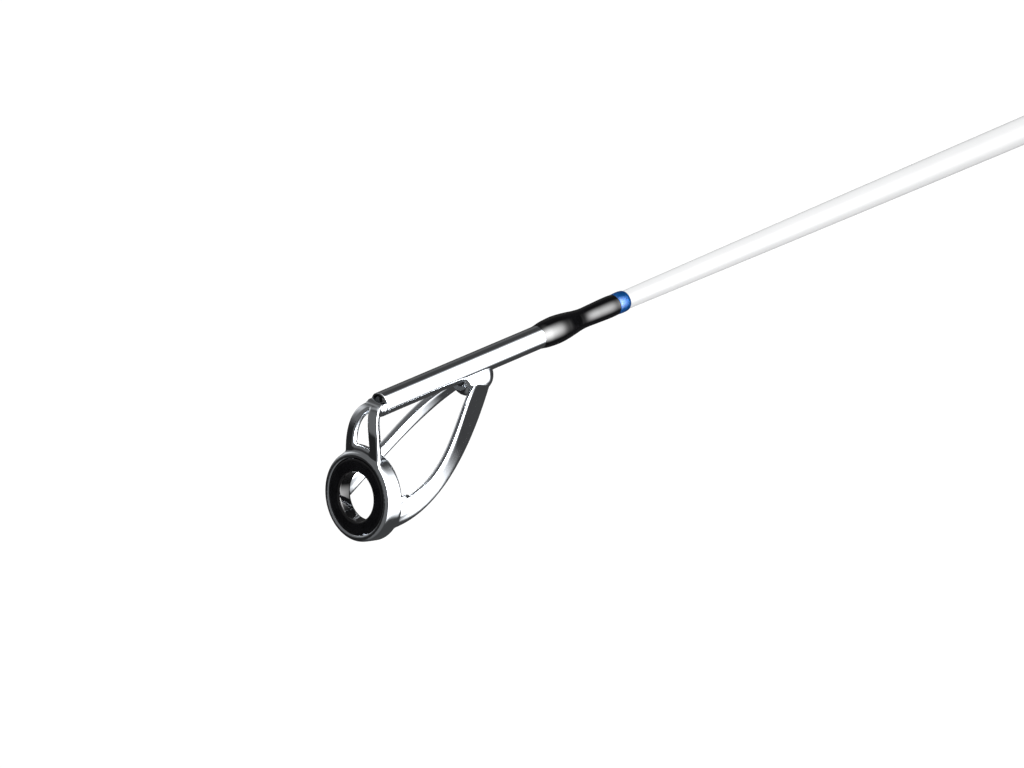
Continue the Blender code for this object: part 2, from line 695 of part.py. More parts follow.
def strap(name, edge_low, edge_high, thickness, steps, facing, bulge=0.0, across=1, at=(0.0, 0.0, 0.0)):
    """Sheet metal strap between two cubic edges, mirrored to the other side.

    Its broad face starts towards facing and turns evenly. Its section starts
    bowed outwards by bulge, as part of the ring holder's round wall, and
    flattens along the strap.
    """
    sections = []
    last_out = Vector(facing)
    for i in range(steps + 1):
        share = i / steps
        low = cubic(edge_low, share)
        high = cubic(edge_high, share)
        ahead = min(1.0, share + 0.01)
        behind = max(0.0, share - 0.01)
        run = sum((cubic(edge, ahead) - cubic(edge, behind) for edge in (edge_low, edge_high)), Vector())
        out = run.cross(low - high).normalized()
        if out.dot(last_out) < 0.0:
            out = -out
        last_out = out
        bow = bulge * max(0.0, 1.0 - share * 2.5)
        face = []
        for k in range(across + 1):
            place_across = k / across
            centre = low.lerp(high, place_across)
            face.append((centre, out * bow * 4.0 * place_across * (1.0 - place_across)))
        half = out * (thickness / 2.0)
        ring = [tuple(centre + lift + half) for centre, lift in face]
        ring += [tuple(centre + lift - half) for centre, lift in reversed(face)]
        sections.append(ring)
    return mirrored(lofted(name, sections, None, tools, at))


def tongue(name, start, end, half_width, top, thickness, at, tip_share=0.4):
    """A guide's foot, thinning and narrowing towards its free end."""
    sections = []
    for share in (0.0, 0.45, 0.8, 1.0):
        along = start + share * (end - start)
        thin = thickness * (1.0 - (1.0 - tip_share) * share * share)
        wide = half_width * (1.0 - 0.45 * share**3)
        rest = top(along + at[0])
        sections.append([(along, wide, -rest), (along, wide * 0.8, -rest - thin),
                         (along, -wide * 0.8, -rest - thin), (along, -wide, -rest)])
    return lofted(name, sections, None, tools, at)


def holder(name, seat, at, ring_radius, wall, depth, ring_thickness, look, sides):
    """Round collar that the ceramic ring sits in, with a stop lip behind."""
    bore = ring_radius + RING_EASE
    outer = bore + wall
    centre = seat.centre
    where = (at[0] + centre.x, at[1] + centre.y, at[2] + centre.z)
    shoulder = -ring_thickness - 0.05
    profile = [
        (bore + wall * 0.55, 0.0),
        (outer - wall * 0.08, -depth * 0.08),
        (outer, -depth * 0.28),
        (outer - wall * 0.1, -depth),
        (bore - wall * 0.5, -depth),
        (bore - wall * 0.5, shoulder),
        (bore, shoulder),
        (bore, -0.05),
    ]
    return turned(name, profile, look, sides, where, seat.tilt)


def ceramic_ring(name, seat, at, radius, bore, thickness, sides):
    """Ring insert with a rounded mouth and a rounded bore."""
    centre = seat.centre
    where = (at[0] + centre.x, at[1] + centre.y, at[2] + centre.z)
    lip = (radius - bore) * 0.25
    turned(name, [
        (radius - 0.08, -0.02),
        (radius, -0.10),
        (radius, -thickness),
        (bore + lip, -thickness),
        (bore, -thickness * 0.62),
        (bore, -thickness * 0.38),
        (bore + lip * 0.25, -lip * 0.5),
        (bore + lip, -0.02),
    ], BLACK_CERAMIC, sides, where, seat.tilt)


def guide(label, station, ring, bore, drop, foot_width, double_foot):
    """A ring guide bound under the blank at one or two feet."""
    at = (station, 0.0, 0.0)
    under = blank_radius(station)
    seat = RingSeat(0.0, under + drop, 0.0)
    wall = 0.35 + 0.03 * ring
    depth = 1.5 + 0.06 * ring
    thickness = 1.0 + 0.04 * ring
    sides = MEDIUM if double_foot else COARSE
    frame = holder(label + "_frame", seat, at, ring, wall, depth, thickness, STAINLESS, sides)
    gauge = wall
    middle = ring + 0.05 + gauge / 2.0
    half = foot_width / 2.0
    steps = 5
    reach = drop * (0.62 if double_foot else 0.72)
    foot_z = -under - GLUE_GAP - gauge / 2.0

    def rest(along):
        return blank_radius(along) + GLUE_GAP

    def front_fork():
        root = 26.0
        spread = 12.0
        low = (seat.rim(root + spread, middle, depth * 0.35), seat.rim(root + spread, middle * 1.25, 0.0),
               (reach * 0.55, half * 0.9, foot_z - 1.4), (reach, half * 0.9, foot_z))
        high = (seat.rim(root - spread, middle, depth * 0.35), seat.rim(root - spread, middle * 1.3, 0.0),
                (reach * 0.55, half * 0.15, foot_z - 1.4), (reach, half * 0.15, foot_z))
        return strap(label + "_fork_tool", low, high, gauge, steps, (1.0, 0.0, 0.0), at=at)

    def rear_legs(low_angle, high_angle, back):
        low = (seat.rim(low_angle, middle, depth * 0.8),
               seat.rim(low_angle - 12.0, middle * 1.1, depth * 2.2),
               (-back * 0.75, half * 1.2, foot_z - drop * 0.28), (-back, half * 0.85, foot_z - 0.35))
        high = (seat.rim(high_angle, middle, depth * 0.8),
                seat.rim(high_angle - 8.0, middle * 1.1, depth * 2.2),
                (-back * 0.62, half * 1.2, foot_z - drop * 0.16), (-back * 0.86, half * 0.85, foot_z + 0.1))
        bulge = middle * (1.0 - math.cos(math.radians((low_angle - high_angle) / 2.0)))
        return strap(label + "_leg_tool", low, high, gauge, steps, (0.0, 1.0, 0.0), bulge, 2, at)

    feet = []
    if double_foot:
        combine(frame, front_fork(), "UNION")
        back = drop * 0.85 + 1.0
        combine(frame, rear_legs(118.0, 84.0, back), "UNION")
        feet.append(("front", 1.0, reach))
        feet.append(("rear", -1.0, back))
    else:
        back = drop * 0.80
        combine(frame, rear_legs(74.0, 36.0, back), "UNION")
        feet.append(("", -1.0, back))
    for word, sense, begin in feet:
        inner = sense * (begin - 1.5)
        outer = sense * (begin + FOOT_LENGTH)
        foot = tongue(label + "_" + (word or "single") + "_foot_tool", inner, outer, half, rest, gauge, at)
        combine(frame, foot, "UNION")
        suffix = "_" + word if word else ""
        cover = sense * (begin + 0.8)
        far = sense * (begin + FOOT_LENGTH + 2.4)
        near_x = station + min(cover, far)
        far_x = station + max(cover, far)
        foot_wrap(label + "_wrap" + suffix, near_x, far_x, half, gauge + GLUE_GAP, -sense)
        band = far_x + GLUE_GAP if sense > 0 else near_x - GLUE_GAP - BAND_LENGTH
        sleeve_on_blank(label + "_trim" + suffix, band, band + BAND_LENGTH, BAND_HEIGHT, BLUE_BAND)
    ceramic_ring(label + "_ring", seat, at, ring, bore, thickness, sides)


def guides():
    bare_tip = ROD_LENGTH - FERRULE_AT - SLEEVE_LENGTH - SLEEVE_TOP_WRAP_LENGTH
    for label, share, ring, bore, drop, foot in SINGLE_FOOT_GUIDES:
        guide(label, ROD_LENGTH - share * bare_tip, ring, bore, drop, foot, False)
    label, share, ring, bore, drop, foot = DOUBLE_FOOT_TIP_GUIDE
    guide(label, ROD_LENGTH - share * bare_tip, ring, bore, drop, foot, True)
    label, share, ring, bore, drop, foot = STRIPPER_GUIDE
    from_check = FERRULE_AT - STOP_WRAP_LENGTH - CHECK_END
    guide(label, CHECK_END + share * from_check, ring, bore, drop, foot, True)


def hook_keeper():
    """Bent wire loop under the blank, bound at both feet."""
    station = CHECK_END + KEEPER_FROM_CHECK
    radius = blank_radius(station)
    wire = KEEPER_WIRE_RADIUS
    lie = radius + GLUE_GAP + 0.1 + wire
    half = KEEPER_SPAN / 2.0
    low = radius + KEEPER_HEIGHT
    bend = 1.6
    route = [(half + KEEPER_FOOT, lie), (half + 0.6, lie), (half + 0.1, lie + 0.25), (half - 0.4, lie + 1.0),
             (half - bend, low - bend * 0.7), (half - bend * 1.8, low), (-half + bend * 1.8, low),
             (-half + bend, low - bend * 0.7), (-half + 0.4, lie + 1.0), (-half - 0.1, lie + 0.25),
             (-half - 0.6, lie), (-half - KEEPER_FOOT, lie)]
    curve = bpy.data.curves.new("hook_keeper", "CURVE")
    curve.dimensions = "3D"
    curve.bevel_depth = wire * MM
    curve.bevel_resolution = 2
    curve.use_fill_caps = True
    spline = curve.splines.new("POLY")
    spline.points.add(len(route) - 1)
    for point, (along, drop) in zip(spline.points, route):
        point.co = (along * MM, 0.0, -drop * MM, 1.0)
    place("hook_keeper", curve, STAINLESS, at=(station, 0.0, 0.0))
    inner = half + 1.2
    outer = half + KEEPER_FOOT + 2.0
    height = 2.0 * wire + 0.1 + GLUE_GAP
    foot_wrap("keeper_wrap_front", station + inner, station + outer, wire, height, -1.0)
    foot_wrap("keeper_wrap_rear", station - outer, station - inner, wire, height, 1.0)


# Tip-top

def tip_top():
    at = (ROD_LENGTH, 0.0, 0.0)
    turned("tip_tube", [
        (TUBE_BORE_RADIUS + 0.06, 0.0),
        (TUBE_RADIUS - 0.04, 0.0),
        (TUBE_RADIUS, -0.05),
        (TUBE_RADIUS, -TUBE_LENGTH + 0.15),
        (TUBE_RADIUS - 0.06, -TUBE_LENGTH),
        (TUBE_BORE_RADIUS, -TUBE_LENGTH),
        (TUBE_BORE_RADIUS, -0.06),
    ], STAINLESS, FINE, at)
    seat = RingSeat(TIP_RING_FORWARD, TIP_RING_DROP, TIP_RING_TILT)
    frame = holder("tip_frame", seat, at, TIP_RING_RADIUS, TIP_COLLAR_WALL, TIP_COLLAR_DEPTH,
                   TIP_RING_THICKNESS, STAINLESS, FINE)
    ceramic_ring("tip_ring", seat, at, TIP_RING_RADIUS, TIP_BORE_RADIUS, TIP_RING_THICKNESS, FINE)
    combine(frame, tip_legs(seat, at), "UNION")
    combine(frame, tip_web(seat, at), "UNION")
    combine(frame, tip_fork(seat, at), "UNION", crossed=True)
    combine(frame, tip_nose(at), "UNION")
    combine(frame, tip_saddle(at), "UNION")
    tip_windings()


def collar_edge(seat, degrees_from_top, share_of_depth):
    """Point in the middle of the collar's wall, where a strap's edge starts."""
    middle = TIP_RING_RADIUS + RING_EASE + TIP_COLLAR_WALL / 2.0
    return seat.rim(degrees_from_top, middle, TIP_COLLAR_DEPTH * share_of_depth)


def tip_legs(seat, at):
    """Two rear legs, from the collar's lower sides up to the saddle."""
    under = -TUBE_RADIUS - LEG_END_DEPTH
    low = (collar_edge(seat, LEG_LOW_ANGLE, LEG_ROOT_SHARE), *LEG_LOW_PULLS, (*LEG_LOW_END, under))
    high = (collar_edge(seat, LEG_HIGH_ANGLE, LEG_ROOT_SHARE), *LEG_HIGH_PULLS, (*LEG_HIGH_END, under))
    half_span = math.radians((LEG_LOW_ANGLE - LEG_HIGH_ANGLE) / 2.0)
    bulge = TIP_RING_RADIUS * (1.0 - math.cos(half_span))
    return strap("tip_leg_tool", low, high, TIP_METAL, 12, (0.0, 1.0, 0.0), bulge, 3, at)


def tip_fork(seat, at):
    """Two front struts that join above a slot and lead to the nose."""
    outer = (collar_edge(seat, FORK_OUTER_ANGLE, 0.28), *FORK_OUTER_PULLS, (0.25, TUBE_RADIUS * 0.76, 0.0))
    inner = (collar_edge(seat, FORK_INNER_ANGLE, 0.28), *FORK_INNER_PULLS, (0.30, -TUBE_RADIUS * 0.53, -0.1))
    return strap("tip_fork_tool", outer, inner, TIP_METAL, 9, (1.0, 0.0, 0.0), at=at)


def tip_web(seat, at):
    """Curved plate that closes the slot at the bottom, on top of the collar."""
    low = TIP_RING_RADIUS + RING_EASE + TIP_COLLAR_WALL * 0.4
    high = TIP_RING_RADIUS + RING_EASE + TIP_COLLAR_WALL + WEB_HEIGHT
    steps = 8
    sections = []
    for i in range(steps + 1):
        degrees = WEB_ANGLE * (2.0 * i / steps - 1.0)
        sections.append([tuple(seat.rim(degrees, radius, TIP_COLLAR_DEPTH * share)) for radius, share in (
            (low, 0.06), (high, 0.11), (high, 0.40), (low, 0.45))])
    return lofted("tip_web_tool", sections, None, tools, at)


def tip_nose(at):
    """Block that closes the lower half of the tube's mouth, under the fork's top."""
    wall = TUBE_RADIUS - 0.08
    sections = []
    for along, width, top, bottom in ((GLUE_GAP, wall, 0.12, -wall), (0.3, wall, 0.16, -wall + 0.05),
                                      (0.62, wall - 0.1, 0.18, -0.35)):
        ring = []
        for i in range(7):
            angle = math.pi * i / 6.0
            ring.append((along, width * math.cos(angle), min(top, 0.0) + bottom * math.sin(angle)))
        ring.append((along, -width * 0.93, top))
        ring.append((along, width * 0.93, top))
        sections.append(ring)
    return lofted("tip_nose_tool", sections, None, tools, at)


def tip_saddle(at):
    """Arch of metal hugging the tube's underside, thick where each leg meets it."""
    inner = TUBE_RADIUS + 0.03
    points_across = 8
    sections = []
    for share, thick, spread in ((0.0, 0.45, 0.72), (0.18, 0.9, 0.94), (0.5, 1.0, 1.0), (0.82, 0.9, 0.94),
                                 (1.0, 0.45, 0.72)):
        along = -SADDLE_REAR + share * (SADDLE_REAR - SADDLE_FRONT)
        reach = math.radians(SADDLE_HALF_ANGLE) * spread
        angles = [reach * (2.0 * k / points_across - 1.0) for k in range(points_across + 1)]
        outer = []
        for angle in angles:
            lobe = 1.0 - 0.70 * (1.0 - 2.0 * abs(angle / reach)) ** 2
            radius = inner + SADDLE_METAL * thick * lobe
            outer.append((along, radius * math.sin(angle), -radius * math.cos(angle)))
        hugging = [(along, inner * math.sin(angle), -inner * math.cos(angle)) for angle in reversed(angles)]
        sections.append(outer + hugging)
    return lofted("tip_saddle_tool", sections, None, tools, at)


def tip_windings():
    """Thread over the tube's end: a swell, a neck, a lower swell and a band."""
    tube_end = ROD_LENGTH - TUBE_LENGTH
    wrap_front = ROD_LENGTH - TIP_WRAP_START
    wrap_rear = wrap_front - TIP_WRAP_LENGTH
    step = tube_end - GLUE_GAP
    swell = TUBE_RADIUS + 0.225
    neck = blank_radius(tube_end - 1.9) + 0.135
    low_swell = blank_radius(tube_end - 4.4) + 0.18
    rear = blank_radius(wrap_rear)
    turned("tip_wrap", [
        (TUBE_RADIUS + 0.07, wrap_front),
        (swell - 0.06, wrap_front - 0.8),
        (swell, wrap_front - 1.9),
        (swell - 0.02, wrap_front - 2.8),
        (swell - 0.12, wrap_front - 3.6),
        ((swell + neck) / 2.0, tube_end - 0.7),
        (neck, tube_end - 1.9),
        (low_swell - 0.02, tube_end - 3.3),
        (low_swell, tube_end - 4.4),
        (rear + 0.12, wrap_rear),
        (rear + 0.03, wrap_rear),
        (blank_radius(step) + 0.04, step),
        (TUBE_RADIUS + 0.03, step),
        (TUBE_RADIUS + 0.03, wrap_front),
    ], BLACK_THREAD, FINE)
    band_front = wrap_rear - 0.02
    band_rear = band_front - TIP_BAND_LENGTH
    turned("tip_trim_band", [
        (blank_radius(band_front) + 0.12, band_front),
        (blank_radius(band_front) + 0.13, band_front - 0.4),
        (blank_radius(band_rear) + 0.10, band_rear + 0.25),
        (blank_radius(band_rear) + 0.06, band_rear),
        (blank_radius(band_rear) + 0.03, band_rear),
        (blank_radius(band_front) + 0.03, band_front),
    ], BLUE_BAND, FINE)


butt_blank()
tip_blank()
ferrule()
handle()
reel_seat()
hoods_and_nut()
hook_keeper()
guides()
tip_top()
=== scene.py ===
"""Looks of a two-piece ultralight spinning rod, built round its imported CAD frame.

Every size here is in millimetres and goes into a mesh in metres. The rod lies
along +X with its tip forward; line guides and reel foot hang towards -Z. An
angle round the rod starts straight down and turns towards +Y.
"""

import json  # noqa: E402
import math  # noqa: E402

import bpy  # noqa: E402
import numpy as np  # noqa: E402
from mathutils import Matrix, Vector  # noqa: E402


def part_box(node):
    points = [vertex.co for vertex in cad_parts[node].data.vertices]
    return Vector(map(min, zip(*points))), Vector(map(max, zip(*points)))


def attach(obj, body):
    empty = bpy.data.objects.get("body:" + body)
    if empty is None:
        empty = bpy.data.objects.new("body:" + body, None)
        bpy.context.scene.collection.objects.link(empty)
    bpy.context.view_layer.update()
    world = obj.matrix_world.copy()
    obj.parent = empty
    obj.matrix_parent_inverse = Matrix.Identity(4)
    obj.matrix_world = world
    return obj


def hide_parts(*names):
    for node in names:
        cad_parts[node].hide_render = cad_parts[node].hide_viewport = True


bl_info = {
    "name": "Ultralight spinning rod",
    "version": (1, 0, 0),
    "blender": (4, 5, 0),
    "location": "View3D > Sidebar > Rod",
    "description": "Builds the finished surfaces of a spinning rod round its CAD frame",
    "category": "Add Mesh",
}

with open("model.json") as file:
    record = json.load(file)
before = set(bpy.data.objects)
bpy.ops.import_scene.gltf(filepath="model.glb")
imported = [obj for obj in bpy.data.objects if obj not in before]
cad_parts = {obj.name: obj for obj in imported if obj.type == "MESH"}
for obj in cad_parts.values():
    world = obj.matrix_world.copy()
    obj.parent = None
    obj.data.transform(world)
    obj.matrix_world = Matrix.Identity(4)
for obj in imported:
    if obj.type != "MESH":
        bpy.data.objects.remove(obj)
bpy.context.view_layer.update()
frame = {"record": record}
BODIES = frame["record"]["behaviour"]["bodies"]
BODY_OF = {part: body for body, parts in BODIES.items() for part in parts}

MM = 0.001
IMAGE_WIDTH = 1024
IMAGE_HEIGHT = 768

# Sizes shared with the frame
ROD_LENGTH = 1524.0
TUBE_LENGTH = 21.0
TUBE_RADIUS = 0.95
TUBE_BORE_RADIUS = 0.78
THREAD_HEIGHT = 0.32
BAND_HEIGHT = 0.22
GLUE_GAP = 0.05
RING_EASE = 0.03
BLANK_WALL = 0.9
BLANK_EDGE = 0.25
SLEEVE_WALL = 0.75
SLEEVE_GAP = 0.08
SEAT_RADIUS = 9.0
SEAT_WALL = 2.0
FOOT_BED_DROP = 8.2
FOOT_REST_DROP = 8.45
FOOT_REST_HALF_WIDTH = 2.8
KEYWAY_HALF_WIDTH = 1.5
SLIDE_GAP = 0.12
HOOD_LENGTH = 20.0
HOOD_WALL = 0.9
POCKET_HALF_WIDTH = 6.6
POCKET_FLOOR = 13.6
POCKET_CORNER = 2.2
NUT_RADIUS = 11.2
NUT_NOSE_RADIUS = 10.0
NUT_LENGTH = 11.0

# The blank's radius at a place behind the tip, its steady taper from there, and
# how much a second taper adds while it fades out
TAPER_START = 50.0
TAPER_RADIUS = 0.97
LEAST_RADIUS = 0.70
STEADY_TAPER = 0.0021
FADING_TAPER = 0.48
FADING_LENGTH = 80.0

# Facets round a turned piece
FINE = 128
MEDIUM = 96

# Powers of the flat ovals that sections follow, squarer as they rise
PLATE_POWER = 4.0
STRAP_POWER = 5.0
BAR_POWER = 9.0

# Edges that turn by more than this many degrees stay sharp
CREASE = 38.0
FORMED_CREASE = 32.0
RING_CREASE = 30.0
SOFT_CREASE = 60.0

# Grid points closer than this, in millimetres, become one
WELD = 1e-5


# Lines and grids

def span(part):
    """First and last place of a CAD node along the rod."""
    low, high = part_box(part)
    return low.x / MM, high.x / MM


def widest(part):
    """Half the width of a CAD node across the rod."""
    low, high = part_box(part)
    return (high.y - low.y) / 2.0 / MM


def spaced(start, end, count):
    """Places between two ends, packed closer near both: the cosine of even steps."""
    return (start + end) / 2.0 - (end - start) / 2.0 * np.cos(np.linspace(0.0, math.pi, count))


def eased(rows, reach, steps=5):
    """An open line, or stack of rings, with its corners rounded.

    Each corner becomes a quadratic curve that leaves the line at most `reach`
    before the corner, or half way along a shorter side.
    """
    line = np.asarray(rows, float)
    corner = line[1:-1]
    back = line[:-2] - corner
    ahead = line[2:] - corner

    def toward(side):
        length = np.maximum(np.linalg.norm(side, axis=-1, keepdims=True), 1e-9)
        return (corner + side * np.minimum(reach / length, 0.49))[:, None]

    leave, join = toward(back), toward(ahead)
    t = np.linspace(0.0, 1.0, steps).reshape((1, steps) + (1,) * (line.ndim - 1))
    curve = (1.0 - t) ** 2 * leave + 2.0 * t * (1.0 - t) * corner[:, None] + t * t * join
    return np.concatenate([line[:1], curve.reshape(-1, *line.shape[1:]), line[-1:]])


def eased_loop(rows, reach, steps=5):
    """A closed line or stack with every corner rounded; its first row ends it."""
    line = np.asarray(rows, float)
    round_line = eased(np.concatenate([line[-1:], line, line[:1]]), reach, steps)[1:-1]
    return np.concatenate([round_line, round_line[:1]])


def flowing(points, count):
    """A smooth line through points: between two of them a cubic whose slopes
    are half the step from the point before to the point after."""
    knots = np.asarray(points, float)
    padded = np.vstack([2.0 * knots[0] - knots[1], knots, 2.0 * knots[-1] - knots[-2]])
    where = np.linspace(0.0, len(knots) - 1.0, count)
    first = np.minimum(where.astype(int), len(knots) - 2)
    t = (where - first)[:, None]
    a, b, c, d = (padded[first + i] for i in range(4))
    return 0.5 * (2.0 * b + (c - a) * t + (2.0 * a - 5.0 * b + 4.0 * c - d) * t**2
                  + (3.0 * b - a - 3.0 * c + d) * t**3)


def quarter(from_end, reach):
    """Rise of a quarter circle, from 0 at an end to 1 at its reach."""
    return np.sqrt(1.0 - (1.0 - np.clip(from_end / reach, 0.0, 1.0)) ** 2)


def round_over(along, radius, reach):
    """Radii brought in at both ends by a quarter circle of a given reach."""
    from_end = np.minimum(along - along.min(), along.max() - along)
    return radius - reach * (1.0 - quarter(from_end, reach))


def shell_line(along, outer, inner):
    """Closed line of (along, radius): out along one radius and back along the other."""
    outer = np.broadcast_to(outer, along.shape)
    inner = np.broadcast_to(inner, along.shape)
    line = np.vstack([np.column_stack([along, outer]), np.column_stack([along, inner])[::-1]])
    return np.vstack([line, line[:1]])


def blank_radius(along):
    """Blank's radius: a steady taper plus one that fades out over 80 mm."""
    past = ROD_LENGTH - np.asarray(along, float) - TAPER_START
    fading = FADING_TAPER * (1.0 - np.exp(-past / FADING_LENGTH))
    return np.maximum(LEAST_RADIUS, TAPER_RADIUS + STEADY_TAPER * past + fading)


def spun(along, turn, radius, centre=(0.0, 0.0, 0.0), tilt=0.0):
    """Points of a grid from places along an axis, angles and radii round it.

    A point is the centre, plus `along` times the axis, plus `radius` times a
    spoke that is straight down at angle 0. `tilt` lifts the axis's front end.
    """
    axis = np.array([math.cos(tilt), 0.0, math.sin(tilt)])
    down = np.array([math.sin(tilt), 0.0, -math.cos(tilt)])
    side = np.array([0.0, 1.0, 0.0])
    spoke = np.cos(turn)[..., None] * down + np.sin(turn)[..., None] * side
    grid = np.asarray(centre, float) + along[..., None] * axis + radius[..., None] * spoke
    grid[:, -1] = grid[:, 0]
    return grid


def round_angles(sides):
    """Even angles once round, with the first again at the end."""
    return np.linspace(0.0, 2.0 * math.pi, sides + 1)


def turned(line, sides=FINE, centre=(0.0, 0.0, 0.0), tilt=0.0):
    """A line of (along, radius) carried once round the axis."""
    line = np.asarray(line, float)
    along, turn = np.meshgrid(line[:, 0], round_angles(sides), indexing="ij")
    radius = np.repeat(line[:, 1:2], sides + 1, axis=1)
    return spun(along, turn, radius, centre, tilt)


def formed(rows, reach):
    """Closed stack of rings, each a place along the rod and a radius for each
    angle, with the corners between the rings rounded."""
    places, radii = zip(*rows)
    sides = len(radii[0])
    stack = np.stack([np.repeat(np.array(places)[:, None], sides, axis=1), np.array(radii)], axis=-1)
    stack = eased_loop(stack, reach)
    turn = np.broadcast_to(round_angles(sides - 1), stack.shape[:2])
    return spun(stack[..., 0], turn, stack[..., 1])


def wrapped(places, radii):
    """Closed stack of rings, from one place for each and a radius for each angle."""
    places = np.repeat(np.append(places, places[0])[:, None], radii.shape[1], axis=1)
    turn = np.broadcast_to(round_angles(radii.shape[1] - 1), places.shape)
    return spun(places, turn, np.concatenate([radii, radii[:1]]))


def closed_ends(grid):
    """A tube of rings with its two ends drawn in to their middles."""
    first, last = (np.repeat(ring.mean(axis=1, keepdims=True), grid.shape[1], axis=1)
                   for ring in (grid[:1], grid[-1:]))
    return np.concatenate([first, grid, last])


def flat_oval(count, power):
    """Section of |across|^n + |out|^n = 1, which is the squarer the higher n is."""
    angle = round_angles(count)
    across, out = (np.sign(way) * np.abs(way) ** (2.0 / power) for way in (np.cos(angle), np.sin(angle)))
    across[-1], out[-1] = across[0], out[0]
    return across, out


def bar(low, high, reach):
    """A block between two corners with its edges rounded."""
    low, high = np.asarray(low, float), np.asarray(high, float)
    along = spaced(low[0], high[0], 24)
    shrink = -round_over(along, 0.0, reach)
    y, z = ((low[axis] + high[axis]) / 2.0 + way * ((high[axis] - low[axis]) / 2.0 - shrink)[:, None]
            for axis, way in zip((1, 2), flat_oval(64, BAR_POWER)))
    return closed_ends(np.stack([np.broadcast_to(along[:, None], y.shape), y, z], axis=-1))


def pebble(centre, half):
    """An ellipsoid: the place at two angles is the centre plus, on each axis, its
    half size times the sine or cosine of both."""
    down, turn = np.meshgrid(np.linspace(0.0, math.pi, 25), round_angles(48), indexing="ij")
    unit = np.stack([np.cos(down), np.sin(down) * np.cos(turn), np.sin(down) * np.sin(turn)], axis=-1)
    return np.asarray(centre) + unit * np.asarray(half)


def wire(route, radius):
    """A round wire along a route of (along, up) in the rod's middle plane."""
    run = np.gradient(route, axis=0)
    run /= np.linalg.norm(run, axis=1, keepdims=True)
    angle = round_angles(32)
    x = route[:, :1] - run[:, 1:] * radius * np.cos(angle)
    z = route[:, 1:] + run[:, :1] * radius * np.cos(angle)
    y = np.broadcast_to(radius * np.sin(angle), x.shape)
    return closed_ends(np.stack([x, y, z], axis=-1))


# Meshes

def grid_faces(rows, columns):
    """Corner numbers of the squares of a grid, row by row."""
    low = np.arange(rows - 1)[:, None] * columns + np.arange(columns - 1)[None, :]
    return np.stack([low, low + columns, low + columns + 1, low + 1], axis=-1).reshape(-1, 4)


def volume_sign(points, faces):
    """Sign of the volume inside faces: the sum of a . (b x c) over their halves."""
    a, b, c, d = (points[faces[:, i]] for i in range(4))
    return np.sign(np.einsum("ij,ij->", a, np.cross(b, c)) + np.einsum("ij,ij->", a, np.cross(c, d)))


def mesh_of(name, grids, scale=MM):
    """One mesh of several closed grids.

    Points that fall together are one point, which closes seams and poles; a
    square that loses a corner becomes a triangle. Each grid is turned so that
    its faces point outwards.
    """
    all_points, triangles, squares, start = [], [], [], 0
    for grid in grids:
        points = grid.reshape(-1, 3)
        faces = grid_faces(*grid.shape[:2])
        if volume_sign(points - points.mean(axis=0), faces) < 0.0:
            faces = faces[:, ::-1]
        _, first, index = np.unique(np.round(points / WELD).astype(np.int64), axis=0,
                                    return_index=True, return_inverse=True)
        faces = index.reshape(-1)[faces]
        same = faces == np.roll(faces, -1, axis=1)
        squares.append(faces[~same.any(axis=1)] + start)
        for corner in range(4):
            lost = faces[same[:, corner] & (same.sum(axis=1) == 1)]
            triangles.append(np.delete(lost, corner, axis=1) + start)
        all_points.append(points[first])
        start += len(first)
    points = np.concatenate(all_points) * scale
    triangles = np.concatenate(triangles)
    squares = np.concatenate(squares)
    mesh = bpy.data.meshes.new(name)
    mesh.vertices.add(len(points))
    mesh.vertices.foreach_set("co", points.astype(np.float32).ravel())
    corners = np.concatenate([triangles.ravel(), squares.ravel()])
    sizes = np.concatenate([np.full(len(triangles), 3), np.full(len(squares), 4)])
    mesh.loops.add(len(corners))
    mesh.loops.foreach_set("vertex_index", corners.astype(np.int32))
    mesh.polygons.add(len(sizes))
    mesh.polygons.foreach_set("loop_start", (np.cumsum(sizes) - sizes).astype(np.int32))
    mesh.update(calc_edges=True)
    mesh.validate()
    return mesh


def finished(part, mesh, slot, crease):
    """Puts a mesh in a CAD node's place, with the finish of a material slot."""
    mesh.name = part + "_" + FINISHES[slot][0]
    mesh.shade_smooth()
    mesh.set_sharp_from_angle(angle=math.radians(crease))
    mesh.materials.clear()
    mesh.materials.append(look(slot))
    made = bpy.data.objects.new(mesh.name, mesh)
    bpy.context.scene.collection.objects.link(made)
    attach(made, BODY_OF[part])
    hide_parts(part)


def piece(part, grids, slot, crease=CREASE):
    """A finished piece from closed grids, in the place of a CAD node."""
    finished(part, mesh_of(part, grids), slot, crease)


def tube(part, slot, rows, outer, inner, reach, sides=FINE):
    """A turned piece as long as a CAD node, between two radii that are given as
    functions of the place along, with its outer edges rounded."""
    along = spaced(*span(part), rows)
    line = shell_line(along, round_over(along, outer(along), reach), inner(along))
    piece(part, [turned(line, sides)], slot)


def fused(part, grids, voxel, smoothing):
    """Overlapping grids grown together into one steel skin with soft inner corners.

    The grids are meshed in millimetres, remeshed over all of them at once,
    smoothed, and brought to metres at the end.
    """
    rough = bpy.data.objects.new(part + "_rough", mesh_of(part, grids, scale=1.0))
    bpy.context.scene.collection.objects.link(rough)
    skin = rough.modifiers.new("skin", "REMESH")
    skin.mode = "VOXEL"
    skin.voxel_size = voxel
    soften = rough.modifiers.new("soften", "SMOOTH")
    soften.factor = 0.5
    soften.iterations = smoothing
    bpy.context.view_layer.update()
    evaluated = rough.evaluated_get(bpy.context.evaluated_depsgraph_get())
    mesh = bpy.data.meshes.new_from_object(evaluated)
    mesh.transform(Matrix.Scale(MM, 4))
    bpy.data.objects.remove(rough)
    finished(part, mesh, "stainless", SOFT_CREASE)


# Shader nodes

def feed(made, tree, feeds):
    """Links each socket that is given to an input and sets any other value on it."""
    for key, value in feeds.items():
        if isinstance(value, bpy.types.NodeSocket):
            tree.links.new(value, made.inputs[key])
        else:
            made.inputs[key].default_value = value


